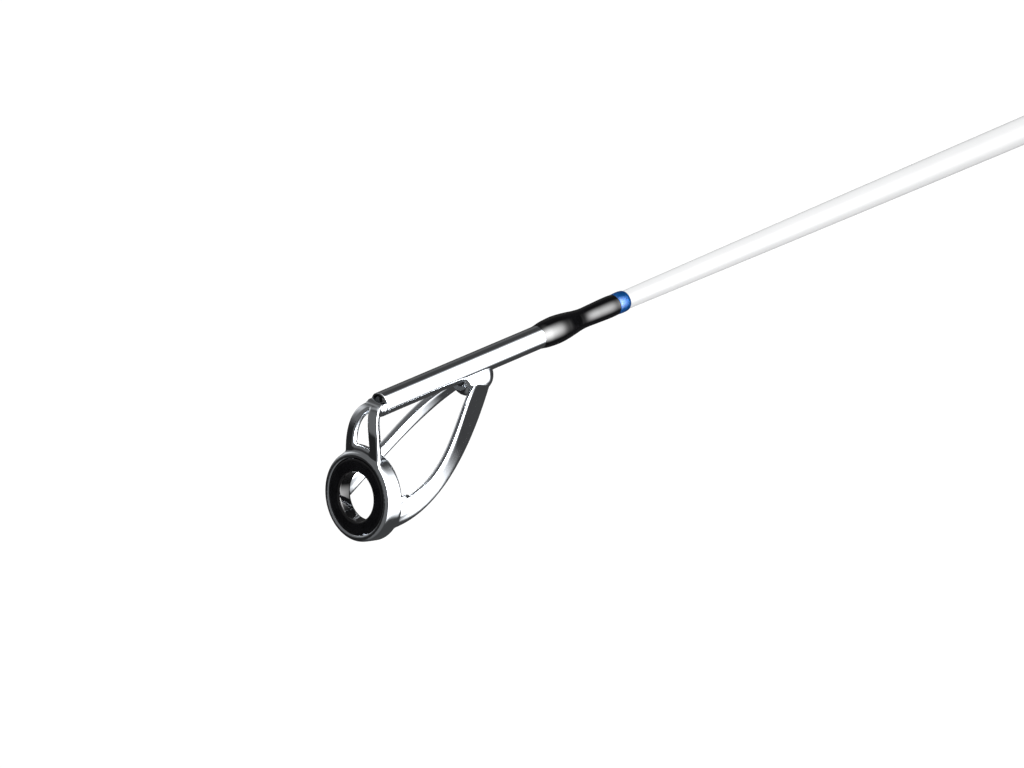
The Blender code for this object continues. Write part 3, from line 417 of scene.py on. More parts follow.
def node(tree, kind, feeds=None, **settings):
    """A new node with its settings, its inputs linked or set."""
    made = tree.nodes.new(kind)
    for key, value in settings.items():
        setattr(made, key, value)
    feed(made, tree, feeds or {})
    return made


def sums(tree, operation, *values):
    """Result of a Math node."""
    return node(tree, "ShaderNodeMath", dict(enumerate(values)), operation=operation).outputs[0]


def times(tree, first, second):
    """Two values multiplied."""
    return sums(tree, "MULTIPLY", first, second)


def ranged(tree, value, from_low, from_high, to_low=0.0, to_high=1.0):
    """Value carried from one range to another along a smooth step."""
    feeds = {0: value, 1: from_low, 2: from_high, 3: to_low, 4: to_high}
    return node(tree, "ShaderNodeMapRange", feeds, interpolation_type="SMOOTHSTEP").outputs[0]


def blended(tree, share, first, second):
    """Colour between two; a plain colour has three numbers."""
    feeds = {0: share}
    for key, colour in ((6, first), (7, second)):
        feeds[key] = colour if isinstance(colour, bpy.types.NodeSocket) else (*colour, 1.0)
    return node(tree, "ShaderNodeMix", feeds, data_type="RGBA").outputs[2]


def stretched(tree, vector, factors, turn=(0.0, 0.0, 0.0)):
    """Coordinates turned, and scaled on each axis."""
    feeds = {"Vector": vector, "Scale": factors, "Rotation": turn}
    return node(tree, "ShaderNodeMapping", feeds).outputs[0]


def noise(tree, vector, scale, detail=2.0, roughness=0.5):
    """Cloudy value, about 0.5 on average."""
    feeds = {"Vector": vector, "Scale": scale, "Detail": detail, "Roughness": roughness}
    return node(tree, "ShaderNodeTexNoise", feeds).outputs[0]


def group(name, inputs, *outputs):
    """An empty node group with its two ends. An input has its default value, or
    None if it is a vector; an output is a number."""
    tree = bpy.data.node_groups.new(name, "ShaderNodeTree")
    for label, value in inputs.items():
        kind = "NodeSocketVector" if value is None else "NodeSocketFloat"
        socket = tree.interface.new_socket(label, in_out="INPUT", socket_type=kind)
        if value is not None:
            socket.default_value = value
    for label in outputs:
        tree.interface.new_socket(label, in_out="OUTPUT", socket_type="NodeSocketFloat")
    return tree, tree.nodes.new("NodeGroupInput").outputs, tree.nodes.new("NodeGroupOutput").inputs


def use(tree, label, **feeds):
    """Places a node group, by its name, with its own values."""
    made = node(tree, "ShaderNodeGroup", node_tree=bpy.data.node_groups[label])
    feed(made, tree, {key.replace("_", " ").capitalize(): value for key, value in feeds.items()})
    return made.outputs


def slow(tree, vector, scale, low=0.0, high=1.0):
    """Value that changes slowly over the surface, from low to high."""
    return use(tree, "slow_change", vector=vector, scale=scale, low=low, high=high)["Value"]


def winding_group():
    """Thread laid round the rod: a row of half circles one pitch apart along X,
    moved on by one pitch for each turn, and a slow unevenness. Its groove output
    is a painted shade that darkens the colour between the turns."""
    tree, given, out = group(
        "thread_winding", {"Vector": None, "Pitch": 0.00016, "Unevenness": 0.25}, "Height", "Groove")
    place = node(tree, "ShaderNodeSeparateXYZ", {0: given["Vector"]}).outputs
    turns = sums(tree, "DIVIDE", sums(tree, "ARCTAN2", place["Y"], place["Z"]), 2.0 * math.pi)
    wander = sums(tree, "SUBTRACT", noise(tree, given["Vector"], 900.0, 1.0), 0.5)
    uneven = times(tree, wander, given["Unevenness"])
    row = sums(tree, "ADD", sums(tree, "DIVIDE", place["X"], given["Pitch"]), turns)
    row = sums(tree, "ADD", row, uneven)
    wave = sums(tree, "ABSOLUTE", sums(tree, "SINE", times(tree, row, math.pi)))
    tree.links.new(sums(tree, "POWER", wave, 0.6), out["Height"])
    # Painted shade between the turns: 1 in a groove, 0 on a crest.
    tree.links.new(ranged(tree, wave, 0.0, 0.45, 1.0, 0.0), out["Groove"])


def slow_group():
    """Slow change over a surface, from one value to another."""
    tree, given, out = group(
        "slow_change", {"Vector": None, "Scale": 200.0, "Low": 0.0, "High": 1.0}, "Value")
    cloud = noise(tree, given["Vector"], given["Scale"], 3.0, 0.55)
    tree.links.new(ranged(tree, cloud, 0.3, 0.7, given["Low"], given["High"]), out["Value"])


def scratch_group():
    """Fine marks of polishing: two stretched noises, kept where one is high."""
    tree, given, out = group(
        "polish_marks", {"Vector": None, "Scale": 4000.0, "Amount": 0.5}, "Height", "Mask")
    first, second = (
        noise(tree, stretched(tree, given["Vector"], factors, turn), given["Scale"])
        for factors, turn in (((1.0, 0.06, 0.4), (0.5, 0.35, 0.5)),
                              ((0.06, 1.0, 0.7), (-0.9, -0.6, -0.9))))
    line = sums(tree, "MAXIMUM", first, second)
    tree.links.new(line, out["Height"])
    tree.links.new(times(tree, ranged(tree, line, 0.58, 0.75), given["Amount"]), out["Mask"])


def lathe_group():
    """Marks of a turning tool: rings along the rod on a side, rings outwards on
    an end, from a noise of the place along and the distance from the line. Where a
    mark is high it gives a painted glint, a lighter colour that stands for a highlight."""
    tree, given, out = group("turning_marks", {"Vector": None, "Scale": 6000.0}, "Height", "Glint")
    place = node(tree, "ShaderNodeSeparateXYZ", {0: given["Vector"]}).outputs
    flat = node(tree, "ShaderNodeCombineXYZ", {0: 0.0, 1: place["Y"], 2: place["Z"]}).outputs[0]
    outwards = node(tree, "ShaderNodeVectorMath", {0: flat}, operation="LENGTH").outputs["Value"]
    ring = node(tree, "ShaderNodeCombineXYZ", {0: place["X"], 1: outwards, 2: 0.0}).outputs[0]
    mark = noise(tree, ring, given["Scale"], 3.0, 0.7)
    tree.links.new(mark, out["Height"])
    # Painted glint: where a mark is high, the colour is made lighter as a highlight.
    tree.links.new(ranged(tree, mark, 0.4, 0.65), out["Glint"])


def cells_group():
    """Small closed cells: walls between them, a tone for each, and a pit where a
    chosen share of the cells is open."""
    tree, given, out = group(
        "open_cells", {"Vector": None, "Scale": 2500.0, "Share": 0.3}, "Wall", "Pit", "Tone")
    place = {key: given[key] for key in ("Vector", "Scale")}
    cell = node(tree, "ShaderNodeTexVoronoi", place)
    edge = node(tree, "ShaderNodeTexVoronoi", place, feature="DISTANCE_TO_EDGE")
    tone = node(tree, "ShaderNodeSeparateColor", {0: cell.outputs["Color"]}).outputs[0]
    chosen = sums(tree, "LESS_THAN", tone, given["Share"])
    pit = times(tree, chosen, ranged(tree, cell.outputs["Distance"], 0.15, 0.5, 1.0, 0.0))
    tree.links.new(ranged(tree, edge.outputs["Distance"], 0.0, 0.12, 1.0, 0.0), out["Wall"])
    tree.links.new(pit, out["Pit"])
    tree.links.new(tone, out["Tone"])


def disc_group():
    """Discs glued one behind another along the rod: how near a glue line is, and
    a number for each disc."""
    tree, given, out = group(
        "glued_discs", {"Vector": None, "Thickness": 0.0127, "Line": 0.0002}, "Glue", "Number")
    along = node(tree, "ShaderNodeSeparateXYZ", {0: given["Vector"]}).outputs["X"]
    disc = sums(tree, "DIVIDE", along, given["Thickness"])
    number = sums(tree, "FLOOR", disc)
    off = times(tree, sums(tree, "PINGPONG", disc, 0.5), given["Thickness"])
    width = times(tree, given["Line"], 2.0)
    tree.links.new(ranged(tree, off, given["Line"], width, 1.0, 0.0), out["Glue"])
    white = node(tree, "ShaderNodeTexWhiteNoise", {"W": number}, noise_dimensions="1D").outputs["Value"]
    tree.links.new(white, out["Number"])


# Materials

def material(name):
    """A material with its Principled shader and its object coordinates."""
    made = bpy.data.materials.new(name)
    made.use_nodes = True
    tree = made.node_tree
    where = tree.nodes.new("ShaderNodeTexCoord").outputs["Object"]
    return made, tree, tree.nodes["Principled BSDF"], where


def bump(tree, shader, *layers):
    """Chains Bump nodes, each a height with its depth in metres, into Normal."""
    normal = None
    for height, depth, strength in layers:
        feeds = {"Height": height, "Distance": depth, "Strength": strength}
        if normal is not None:
            feeds["Normal"] = normal
        normal = node(tree, "ShaderNodeBump", feeds).outputs[0]
    tree.links.new(normal, shader.inputs["Normal"])


SHADER_INPUT = {
    "colour": "Base Color", "rough": "Roughness", "metallic": "Metallic", "ior": "IOR",
    "specular": "Specular IOR Level", "coat": "Coat Weight", "coat_rough": "Coat Roughness",
    "coat_ior": "Coat IOR",
}


def connect(tree, shader, **feeds):
    """Links or sets inputs of the shader, by the short names above."""
    feed(shader, tree, {SHADER_INPUT[key]: value for key, value in feeds.items()})


def shade(colour, factor, lift=0.0):
    """A colour made darker or lighter by a factor and a lift."""
    return tuple(channel * factor + lift for channel in colour)


def white_blank(tree, shader, where, finish):
    """White lacquer under clear: faint clouds in the white, soft orange peel."""
    colour = tuple(finish.blank_colour)
    connect(tree, shader, ior=1.5, rough=slow(tree, where, 350.0, 0.05, 0.09),
            colour=blended(tree, slow(tree, where, 60.0), colour, shade(colour, 0.965)))
    bump(tree, shader, (noise(tree, where, 700.0, 1.0), 0.000004, 0.6))


def thread(tree, shader, where, pitch, colour, sheen_colour, metallic, coat):
    """Thread under clear epoxy: painted shade darkens the colour in the grooves, slow
    streaks towards a lighter colour are a painted sheen, and the coat is smooth.
    """
    laid = use(tree, "thread_winding", vector=where, pitch=pitch, unevenness=0.3)
    # Painted sheen: slow stretched streaks carry the thread's colour towards a lighter one.
    sheen_streaked = blended(tree, slow(tree, stretched(tree, where, (3.0, 1.0, 1.0)), 500.0), colour, sheen_colour)
    # Painted shade: the colour falls to 0.35 of itself in the grooves between the turns.
    connect(tree, shader, colour=blended(tree, laid["Groove"], sheen_streaked, shade(colour, 0.35)),
            rough=slow(tree, where, 800.0, 0.28, 0.4), metallic=metallic, specular=0.0,
            coat=coat, coat_rough=0.03, coat_ior=1.52)
    bump(tree, shader, (laid["Height"], 0.000015, 0.6))


def black_thread(tree, shader, where, finish):
    """Black thread under a full coat of epoxy."""
    colour = tuple(finish.thread_colour)
    # The second colour given is the lighter colour of the painted sheen.
    thread(tree, shader, where, finish.thread_pitch, colour, (0.003, 0.003, 0.004), 0.0, 1.0)


def blue_band(tree, shader, where, finish):
    """Metallic blue thread under a thinner coat."""
    colour = tuple(finish.band_colour)
    # The second colour given is the lighter colour of the painted sheen.
    thread(tree, shader, where, finish.thread_pitch, colour, shade(colour, 1.5, 0.006), 0.3, 0.5)


def stainless(tree, shader, where, finish):
    """Polished steel: roughness drifts, faint polishing marks, a slight waviness."""
    colour = tuple(finish.steel_colour)
    marks = use(tree, "polish_marks", vector=where, scale=5000.0, amount=0.4)
    drift = slow(tree, where, 900.0, 0.05, 0.10)
    connect(tree, shader, metallic=1.0, rough=sums(tree, "ADD", drift, times(tree, marks["Mask"], 0.12)),
            colour=blended(tree, slow(tree, where, 400.0), colour, shade(colour, 0.93)))
    bump(tree, shader, (noise(tree, where, 500.0, 1.0), 0.000008, 0.6),
         (marks["Height"], 0.0000012, 0.4))


def black_ceramic(tree, shader, where, finish):
    """Polished dark ceramic: nearly mirror-like, with the faintest clouding."""
    colour = tuple(finish.ceramic_colour)
    marks = use(tree, "polish_marks", vector=where, scale=6000.0, amount=0.3)
    connect(tree, shader, ior=1.6, rough=sums(tree, "ADD", 0.04, times(tree, marks["Mask"], 0.08)),
            colour=blended(tree, slow(tree, where, 700.0), colour, shade(colour, 1.6, 0.001)))
    bump(tree, shader, (marks["Height"], 0.0000008, 0.4))


def cork(tree, shader, where, finish):
    """Sanded cork in glued discs: each disc has its own tone, granules vary, and
    dark pits and short streaks are left open."""
    colour = tuple(finish.cork_colour)
    discs = use(tree, "glued_discs", vector=where, thickness=finish.cork_disc)
    number = discs["Number"]
    shift = node(tree, "ShaderNodeCombineXYZ", {0: number, 1: number, 2: 0.0}).outputs[0]
    own = node(tree, "ShaderNodeVectorMath", {0: where, 1: shift}).outputs[0]
    grain = use(tree, "open_cells", vector=own, scale=900.0, share=0.0)
    drawn_out = stretched(tree, own, (1.0, 0.55, 0.55))
    pits = use(tree, "open_cells", vector=drawn_out, scale=650.0, share=0.13)
    specks = use(tree, "open_cells", vector=own, scale=2600.0, share=0.12)
    streak = ranged(tree, noise(tree, stretched(tree, own, (0.25, 1.0, 1.0)), 900.0, 3.0), 0.60, 0.70)
    ragged = times(tree, pits["Pit"], ranged(tree, noise(tree, own, 1800.0, 2.0), 0.35, 0.55))
    dark = sums(tree, "MAXIMUM", ragged, times(tree, specks["Pit"], 0.6))
    body = colour
    for mask, share, factor, lift in (
            (number, 0.6, 0.80, 0.0), (slow(tree, own, 120.0), 0.5, 0.86, 0.03),
            (grain["Tone"], 0.28, 0.62, 0.0), (streak, 0.55, 0.42, 0.0), (dark, 0.85, 0.16, 0.0),
            (discs["Glue"], 0.45, 0.40, 0.0)):
        body = blended(tree, times(tree, mask, share), body, shade(colour, factor, lift))
    connect(tree, shader, colour=body, specular=0.25, rough=slow(tree, own, 500.0, 0.68, 0.85))
    bump(tree, shader, (ragged, -0.00035, 0.9), (specks["Pit"], -0.00012, 0.8),
         (grain["Wall"], -0.00003, 0.5), (discs["Glue"], -0.00006, 0.7))


def rubber(tree, shader, where, finish):
    """Moulded rubber: a fine grain, a few larger dimples and a dusty bloom."""
    colour = tuple(finish.rubber_colour)
    connect(tree, shader, specular=0.35, rough=slow(tree, where, 420.0, 0.52, 0.72),
            colour=blended(tree, slow(tree, where, 180.0), colour, shade(colour, 1.35, 0.004)))
    bump(tree, shader, (noise(tree, where, 5200.0, 3.0, 0.6), 0.00004, 0.7),
         (noise(tree, where, 900.0, 1.0), 0.00004, 0.5))


def blue_anodised(tree, shader, where, finish):
    """Turned aluminium dyed blue: tool rings show as fine lines in the bump, and as
    painted glints where the colour is made lighter.
    """
    colour = tuple(finish.anodised_colour)
    marks = use(tree, "turning_marks", vector=where, scale=9000.0)
    # The tool rings' painted glints lighten the blue.
    connect(tree, shader, metallic=1.0, rough=ranged(tree, marks["Height"], 0.35, 0.65, 0.14, 0.26),
            colour=blended(tree, marks["Glint"], colour, shade(colour, 1.3, 0.01)))
    bump(tree, shader, (marks["Height"], 0.000004, 0.6))


def graphite(tree, shader, where, finish):
    """Filled black resin, moulded satin: flow clouds, a fine grain, small pale specks."""
    colour = tuple(finish.seat_colour)
    cloud = slow(tree, stretched(tree, where, (0.3, 1.0, 1.0)), 260.0)
    flake = use(tree, "open_cells", vector=where, scale=4200.0, share=0.06)
    pale_specks = times(tree, flake["Pit"], 0.5)
    body = blended(tree, cloud, colour, shade(colour, 1.5, 0.003))
    connect(tree, shader, colour=blended(tree, pale_specks, body, (0.09, 0.09, 0.10)),
            rough=slow(tree, where, 700.0, 0.26, 0.40))
    bump(tree, shader, (noise(tree, where, 7000.0, 2.0, 0.6), 0.000012, 0.6),
         (noise(tree, where, 600.0, 1.0), 0.00002, 0.4))


def foam(tree, shader, where, finish):
    """Closed-cell foam of the two arbors inside the reel seat; its open cells are
    darkened as painted shade in the pits.
    """
    cells = use(tree, "open_cells", vector=where, scale=3000.0, share=0.4)
    # Painted shade: the open cells' pits are darker than the foam.
    body = blended(tree, cells["Pit"], (0.11, 0.11, 0.115), (0.03, 0.03, 0.032))
    connect(tree, shader, colour=body, rough=0.9)
    bump(tree, shader, (cells["Pit"], -0.0001, 0.8), (cells["Wall"], 0.00003, 0.5))


# For each of the record's material slots: what a piece's name says was done to
# it, and what makes its material
FINISHES = {
    "white_blank": ("lacquered", white_blank),
    "black_thread": ("coated", black_thread),
    "blue_band": ("wound", blue_band),
    "stainless": ("polished", stainless),
    "black_ceramic": ("fired", black_ceramic),
    "cork": ("sanded", cork),
    "rubber": ("moulded", rubber),
    "blue_anodised": ("anodised", blue_anodised),
    "graphite": ("formed", graphite),
    "foam": ("cut", foam),
}


def look(slot):
    """A slot's material; it is made the first time that a piece asks for it."""
    found = bpy.data.materials.get("rod_" + slot)
    if found is None:
        found, tree, shader, where = material("rod_" + slot)
        FINISHES[slot][1](tree, shader, where, bpy.context.scene.rod_finish)
    return found


# Windings

# How far a winding stands over what it covers at its thinnest, and how near its
# own under side comes
WRAP_LIFT = 0.02
WRAP_CLEARANCE = 0.01
# Share of the height that the rounded lip at each end has, and the lip's length
LIP_SHARE = 0.3
LIP_LENGTH = 0.22
FOOT_LIP_SHARE = 0.35
FOOT_LIP_LENGTH = 0.35
# Rates of the exponentials by which the rest of the height comes in, and the foot
# sinks towards its closed end
CLIMB_RATE = 2.5
FOOT_CLIMB_RATE = 2.2
FOOT_SINK_RATE = 7.0
# Lengths over which the thread and a trim band climb to their height
WRAP_FEATHER = 1.6
BAND_FEATHER = 0.5
# The circle round a foot: how far under the line its middle lies, as a share of the
# blank's radius, how much epoxy covers the foot's corner, and how much an end rounds
FOOT_CIRCLE_DROP = 0.75
FOOT_COVER = 0.22
FOOT_ROUNDING = 0.3


def winding_line(rear, front, under, height, feather=WRAP_FEATHER):
    """Outline of thread and epoxy on a round piece.

    Its height rises at each end along a quarter circle to the lip's share, and
    reaches the rest as one minus a falling exponential of the feather.
    """
    along = spaced(rear, front, 56)
    inner = under(along) if callable(under) else np.full(len(along), under)
    from_end = np.minimum(along - rear, front - along)
    lip = quarter(from_end, LIP_LENGTH)
    climb = 1.0 - np.exp(-CLIMB_RATE * from_end / feather)
    outer = inner + WRAP_LIFT + height * (LIP_SHARE * lip + (1.0 - LIP_SHARE) * climb)
    return shell_line(along, outer, inner + WRAP_CLEARANCE)


def winding(part, slot, under, height, feather=WRAP_FEATHER):
    """A winding as long as its CAD node."""
    line = winding_line(*span(part), under, height, feather)
    piece(part, [turned(line, MEDIUM)], slot)


def foot_winding(part, foot_half, foot_height, closed_in_front):
    """Thread and epoxy over a foot under the blank.

    Its outline is the larger of two circles, one round the blank and a lower
    one round the foot, blended softly. The lower one sinks towards the closed
    end as an exponential, and both round off at the ends.
    """
    rear, front = span(part)
    along = spaced(rear, front, 60)
    angle = round_angles(MEDIUM)
    blank = blank_radius(along)
    from_closed = (front - along if closed_in_front else along - rear) / (front - rear)
    full = (1.0 - np.exp(-FOOT_SINK_RATE * from_closed)) / (1.0 - math.exp(-FOOT_SINK_RATE))
    from_end = np.minimum(along - rear, front - along)
    lip = quarter(from_end, FOOT_LIP_LENGTH)
    climb = 1.0 - np.exp(-FOOT_CLIMB_RATE * from_end)
    rise = FOOT_LIP_SHARE * lip + (1.0 - FOOT_LIP_SHARE) * climb
    upper = np.repeat((blank + WRAP_LIFT + THREAD_HEIGHT * rise)[:, None], len(angle), axis=1)
    drop = blank * FOOT_CIRCLE_DROP
    corner = np.hypot(foot_half + 0.1, blank + foot_height + 0.1 - drop)
    round_foot = corner + FOOT_COVER - (1.0 - full) * foot_height - FOOT_ROUNDING * (1.0 - lip)
    down = drop[:, None] * np.cos(angle)
    inside = down**2 - drop[:, None] ** 2 + round_foot[:, None] ** 2
    lower = down + np.sqrt(np.maximum(inside, 0.0))
    outer = 0.5 * (upper + lower + np.sqrt((upper - lower) ** 2 + 0.01)) - 0.05
    inner = np.repeat((blank + WRAP_CLEARANCE)[:, None], len(angle), axis=1)
    radii = np.concatenate([np.maximum(outer, inner + 0.005), inner[::-1]])
    piece(part, [wrapped(np.append(along, along[::-1]), radii)], "black_thread")


# Ring guides

def ring_line(radius, bore, thickness):
    """Ceramic insert: a straight bore and small rounded edges; its face stands a
    little before the seat's plane."""
    return eased_loop([
        (0.08, radius - 0.07), (0.0, radius), (-thickness, radius), (-thickness, bore + 0.12),
        (-thickness + 0.12, bore), (-0.04, bore), (0.08, bore + 0.12)], 0.12, 6)


def collar_line(radius, wall, depth, thickness):
    """Collar round an insert: a full rolled edge in front, and a stop lip behind."""
    bore = radius + RING_EASE
    roll = wall * 0.22
    shoulder = -thickness - 0.05
    return eased_loop([(place, bore + wall * out) for place, out in (
        (roll * 0.5, 0.0), (roll, 0.25), (roll, 0.60), (-depth * 0.05, 0.92), (-depth * 0.3, 0.97),
        (-depth, 1.04), (-depth, -0.5), (shoulder, -0.5), (shoulder, 0.0))], 0.16, 6)


def cubic(points, share):
    """Cubic curve with four control points, at shares of the way along."""
    a, b, c, d = (np.asarray(point, float) for point in points)
    t = np.asarray(share, float)[:, None]
    return a * (1 - t) ** 3 + b * 3 * t * (1 - t) ** 2 + c * 3 * t * t * (1 - t) + d * t**3


class RingSeat:
    """A ring's place: its centre, and a point on its rim by angle from the top."""

    def __init__(self, centre, tilt=0.0):
        self.centre = np.asarray(centre, float)
        self.tilt = tilt
        self.axis = np.array([math.cos(tilt), 0.0, math.sin(tilt)])
        self.up = np.array([-math.sin(tilt), 0.0, math.cos(tilt)])

    def rim(self, degrees, radius, depth):
        """Point at an angle from the top and a radius, so deep behind the ring's face."""
        angle = math.radians(degrees)
        spoke = self.up * math.cos(angle) + np.array([0.0, math.sin(angle), 0.0])
        return self.centre + spoke * radius - self.axis * depth


# A strap's bow is gone after one part in so many of its length
BOW_FADE = 3.2


def strap(low_edge, high_edge, gauge, bow, facing, far_width=1.0):
    """Sheet strap between two cubic edges, with its mirror across the rod, which
    is drawn in to `far_width` of the width about its middle line.

    Its section is a flat oval that spans the two edges and is as thick as the
    gauge. `bow` lifts its middle outwards and fades evenly along it.
    """
    share = np.linspace(0.0, 1.0, 70)
    low, high = cubic(low_edge, share), cubic(high_edge, share)
    run = np.gradient((low + high) / 2.0, axis=0)
    out = np.cross(run, low - high)
    out /= np.linalg.norm(out, axis=1, keepdims=True)
    flips = np.sign(np.einsum("ij,ij->i", out[1:], out[:-1]))
    out[1:] *= np.cumprod(flips)[:, None]
    if out[0] @ np.asarray(facing) < 0.0:
        out = -out
    across, thick = flat_oval(44, STRAP_POWER)
    across = 0.5 + 0.5 * across
    fade = bow * np.maximum(0.0, 1.0 - BOW_FADE * share)[:, None]
    lift = 0.5 * gauge * thick[None, :] + fade * 4.0 * (across * (1.0 - across))[None, :]
    grid = low[:, None] + (high - low)[:, None] * across[None, :, None] + out[:, None] * lift[..., None]
    middle = ((low + high) / 2.0)[:, None]
    far = middle + (grid - middle) * far_width + out[:, None] * (1.0 - far_width) * lift[..., None]
    return [closed_ends(grid), closed_ends(far) * np.array([1.0, -1.0, 1.0])]


def foot_grid(start, end, half_width, thickness):
    """A guide's foot under the blank, thinner and narrower towards its free end."""
    share = np.linspace(0.0, 1.0, 30)[:, None]
    along = start + (end - start) * share
    thin = thickness * (1.0 - 0.6 * share**2)
    wide = half_width * (1.0 - 0.45 * share**3)
    across, up = flat_oval(32, PLATE_POWER)
    rest = -blank_radius(along) - GLUE_GAP
    z = rest - thin / 2.0 + thin / 2.0 * up
    return closed_ends(np.stack([np.broadcast_to(along, z.shape), wide * across, z], axis=-1))


def guide_straps(seat, under, drop, ring, gauge, half, depth, double):
    """Fork and legs of a ring guide, each a pair of mirrored straps, and where
    its feet begin, by the sense in which they leave.

    A leg runs from the collar's side between two angles of its rim, back and up
    to a foot behind. A guide with two feet has a fork in front as well.
    """
    middle = ring + 0.05 + gauge / 2.0
    foot_z = -under - GLUE_GAP - gauge / 2.0
    reach = drop * 0.62
    back = drop * 0.85 + 1.0 if double else drop * 0.80
    low_angle, high_angle = (118.0, 84.0) if double else (74.0, 36.0)
    bow = middle * (1.0 - math.cos(math.radians((low_angle - high_angle) / 2.0)))
    rim, station = seat.rim, seat.centre[0]

    def edge(angle, turn, far, near):
        """Two points by the collar and two, (along, side, up), by the foot."""
        return (rim(angle, middle, depth * 0.8), rim(angle - turn, middle * 1.1, depth * 2.2),
                *(np.array([station + along, side, up]) for along, side, up in (far, near)))

    low = edge(low_angle, 12.0, (-back * 0.75, half * 1.2, foot_z - drop * 0.28),
               (-back, half * 0.85, foot_z - 0.35))
    high = edge(high_angle, 8.0, (-back * 0.62, half * 1.2, foot_z - drop * 0.16),
                (-back * 0.86, half * 0.85, foot_z + 0.1))
    straps = strap(low, high, gauge, bow, (0.0, 1.0, 0.0))
    if not double:
        return straps, ((-1.0, back),)
    outer, inner = (
        (rim(angle, middle, depth * 0.35), rim(angle, middle * swell, 0.0),
         np.array([station + reach * 0.55, half * side, foot_z - 1.4]),
         np.array([station + reach, half * side, foot_z]))
        for angle, swell, side in ((38.0, 1.25, 0.9), (14.0, 1.3, 0.15)))
    straps += strap(outer, inner, gauge, 0.0, (1.0, 0.0, 0.0))
    return straps, ((1.0, reach), (-1.0, back))


# Bore radius, foot width and whether a guide has two feet
GUIDES = {
    "guide_6": (1.95, 1.6, False),
    "guide_7": (2.35, 1.7, False),
    "guide_8": (3.02, 1.8, False),
    "guide_12": (4.5, 2.2, True),
    "stripper": (8.0, 2.6, True),
}


FOOT_OVERLAP = 1.5
FOOT_LENGTH = 11.0
VOXELS_PER_GAUGE = 4.7


def guide(label, bore, foot_width, double):
    """One ring guide with its windings and trim bands, placed by its CAD ring."""
    low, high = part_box(label + "_ring")
    station = high.x / MM + 0.02
    ring = widest(label + "_ring")
    centre = (station, 0.0, (low.z + high.z) / 2.0 / MM)
    under = float(blank_radius(station))
    drop = -centre[2] - under
    gauge = 0.35 + 0.03 * ring
    depth = 1.5 + 0.06 * ring
    thickness = 1.0 + 0.04 * ring
    half = foot_width / 2.0
    straps, feet = guide_straps(RingSeat(centre), under, drop, ring, gauge, half, depth, double)
    grids = [turned(collar_line(ring, gauge, depth, thickness), FINE, centre), *straps]
    for sense, begin in feet:
        ends = (station + sense * (begin - FOOT_OVERLAP), station + sense * (begin + FOOT_LENGTH))
        grids.append(foot_grid(*ends, half, gauge))
    fused(label + "_frame", grids, gauge / VOXELS_PER_GAUGE, 4)
    piece(label + "_ring", [turned(ring_line(ring, bore, thickness), FINE, centre)], "black_ceramic")
    suffixes = {1.0: "_front", -1.0: "_rear"} if double else {-1.0: ""}
    for sense, suffix in suffixes.items():
        foot_winding(label + "_wrap" + suffix, half, gauge + GLUE_GAP, sense > 0.0)
        winding(label + "_trim" + suffix, "blue_band", blank_radius, BAND_HEIGHT, BAND_FEATHER)


# Tip-top

TIP_SEAT = RingSeat((ROD_LENGTH + 2.97, 0.0, -6.80), math.radians(11.4))
TIP_RING = 3.0
TIP_BORE = 1.92
TIP_THICKNESS = 1.27
TIP_WALL = 0.58
TIP_DEPTH = 1.5
TIP_GAUGE = 0.58
TIP_VOXEL = 0.063
# The far leg's width as a share of the near leg's
TIP_FAR_LEG = 0.64
# Angles on the collar, from its top, between which the plate closes the slot, and
# from which it begins to sink into the collar
WEB_HALF_ANGLE = 54.0
WEB_SINK_ANGLE = 18.0
# The plug's sections: place before the mouth, half width, top and depth
NOSE_SECTIONS = ((0.0, 0.97, 0.36, 0.97), (0.3, 0.97, 0.34, 0.93), (0.66, 0.86, 0.26, 0.45))
# The saddle's rear end behind the mouth, its length, depth and half angle
SADDLE_BACK = 11.5
SADDLE_LENGTH = 3.1
SADDLE_DEPTH = 1.38
SADDLE_HALF_ANGLE = 66.0
# The winding and the band fill only part of the room that the frame gives them
TIP_WRAP_SHORT = 0.6
TIP_BAND_LENGTH = 1.25
TIP_BAND_HEIGHT = 0.11


def from_mouth(*points):
    """Points given from the tube's mouth, in the rod's place."""
    return [np.array([ROD_LENGTH, 0.0, 0.0]) + np.asarray(point) for point in points]


def tip_frame_grids():
    """Collar, slotted fork and its web, nose, legs and the saddle that joins them.

    The legs' and the fork's edges are cubics: their first point is on the
    collar's rim, and the rest are given from the tube's mouth.
    """
    middle = TIP_RING + RING_EASE + TIP_WALL / 2.0
    rim = TIP_SEAT.rim
    collar = collar_line(TIP_RING, TIP_WALL, TIP_DEPTH, TIP_THICKNESS)
    grids = [turned(collar, FINE, TIP_SEAT.centre, TIP_SEAT.tilt)]
    root = TIP_DEPTH * 0.72
    low = from_mouth((-2.26, 4.81, -8.50), (-7.92, 2.57, -3.17), (-11.3, 0.60, -1.52))
    high = from_mouth((-3.42, 3.98, -6.50), (-5.40, 2.80, -1.78), (-8.96, 1.05, -1.20))
    bow = TIP_RING * (1.0 - math.cos(math.radians(18.0)))
    grids += strap([rim(128.0, middle, root), *low], [rim(86.0, middle, root), *high], TIP_GAUGE, bow,
                   (0.0, 1.0, 0.0), TIP_FAR_LEG)
    root = TIP_DEPTH * 0.28
    outer = from_mouth((1.70, 1.98, -1.80), (1.70, 1.15, 0.12), (0.15, 0.72, -0.05))
    inner = from_mouth((2.05, 0.92, -1.65), (1.78, 0.33, 0.36), (0.20, -0.50, -0.15))
    grids += strap([rim(33.0, middle, root), *outer], [rim(16.5, middle, root), *inner], TIP_GAUGE, 0.0,
                   (1.0, 0.0, 0.0))
    fillets = [pebble((ROD_LENGTH + 1.3, side * 3.40, -6.63), (0.85, 0.24, 0.33))
               for side in (1.0, -1.0)]
    return [*grids, web_grid(), nose_grid(), saddle_grid(), *fillets]


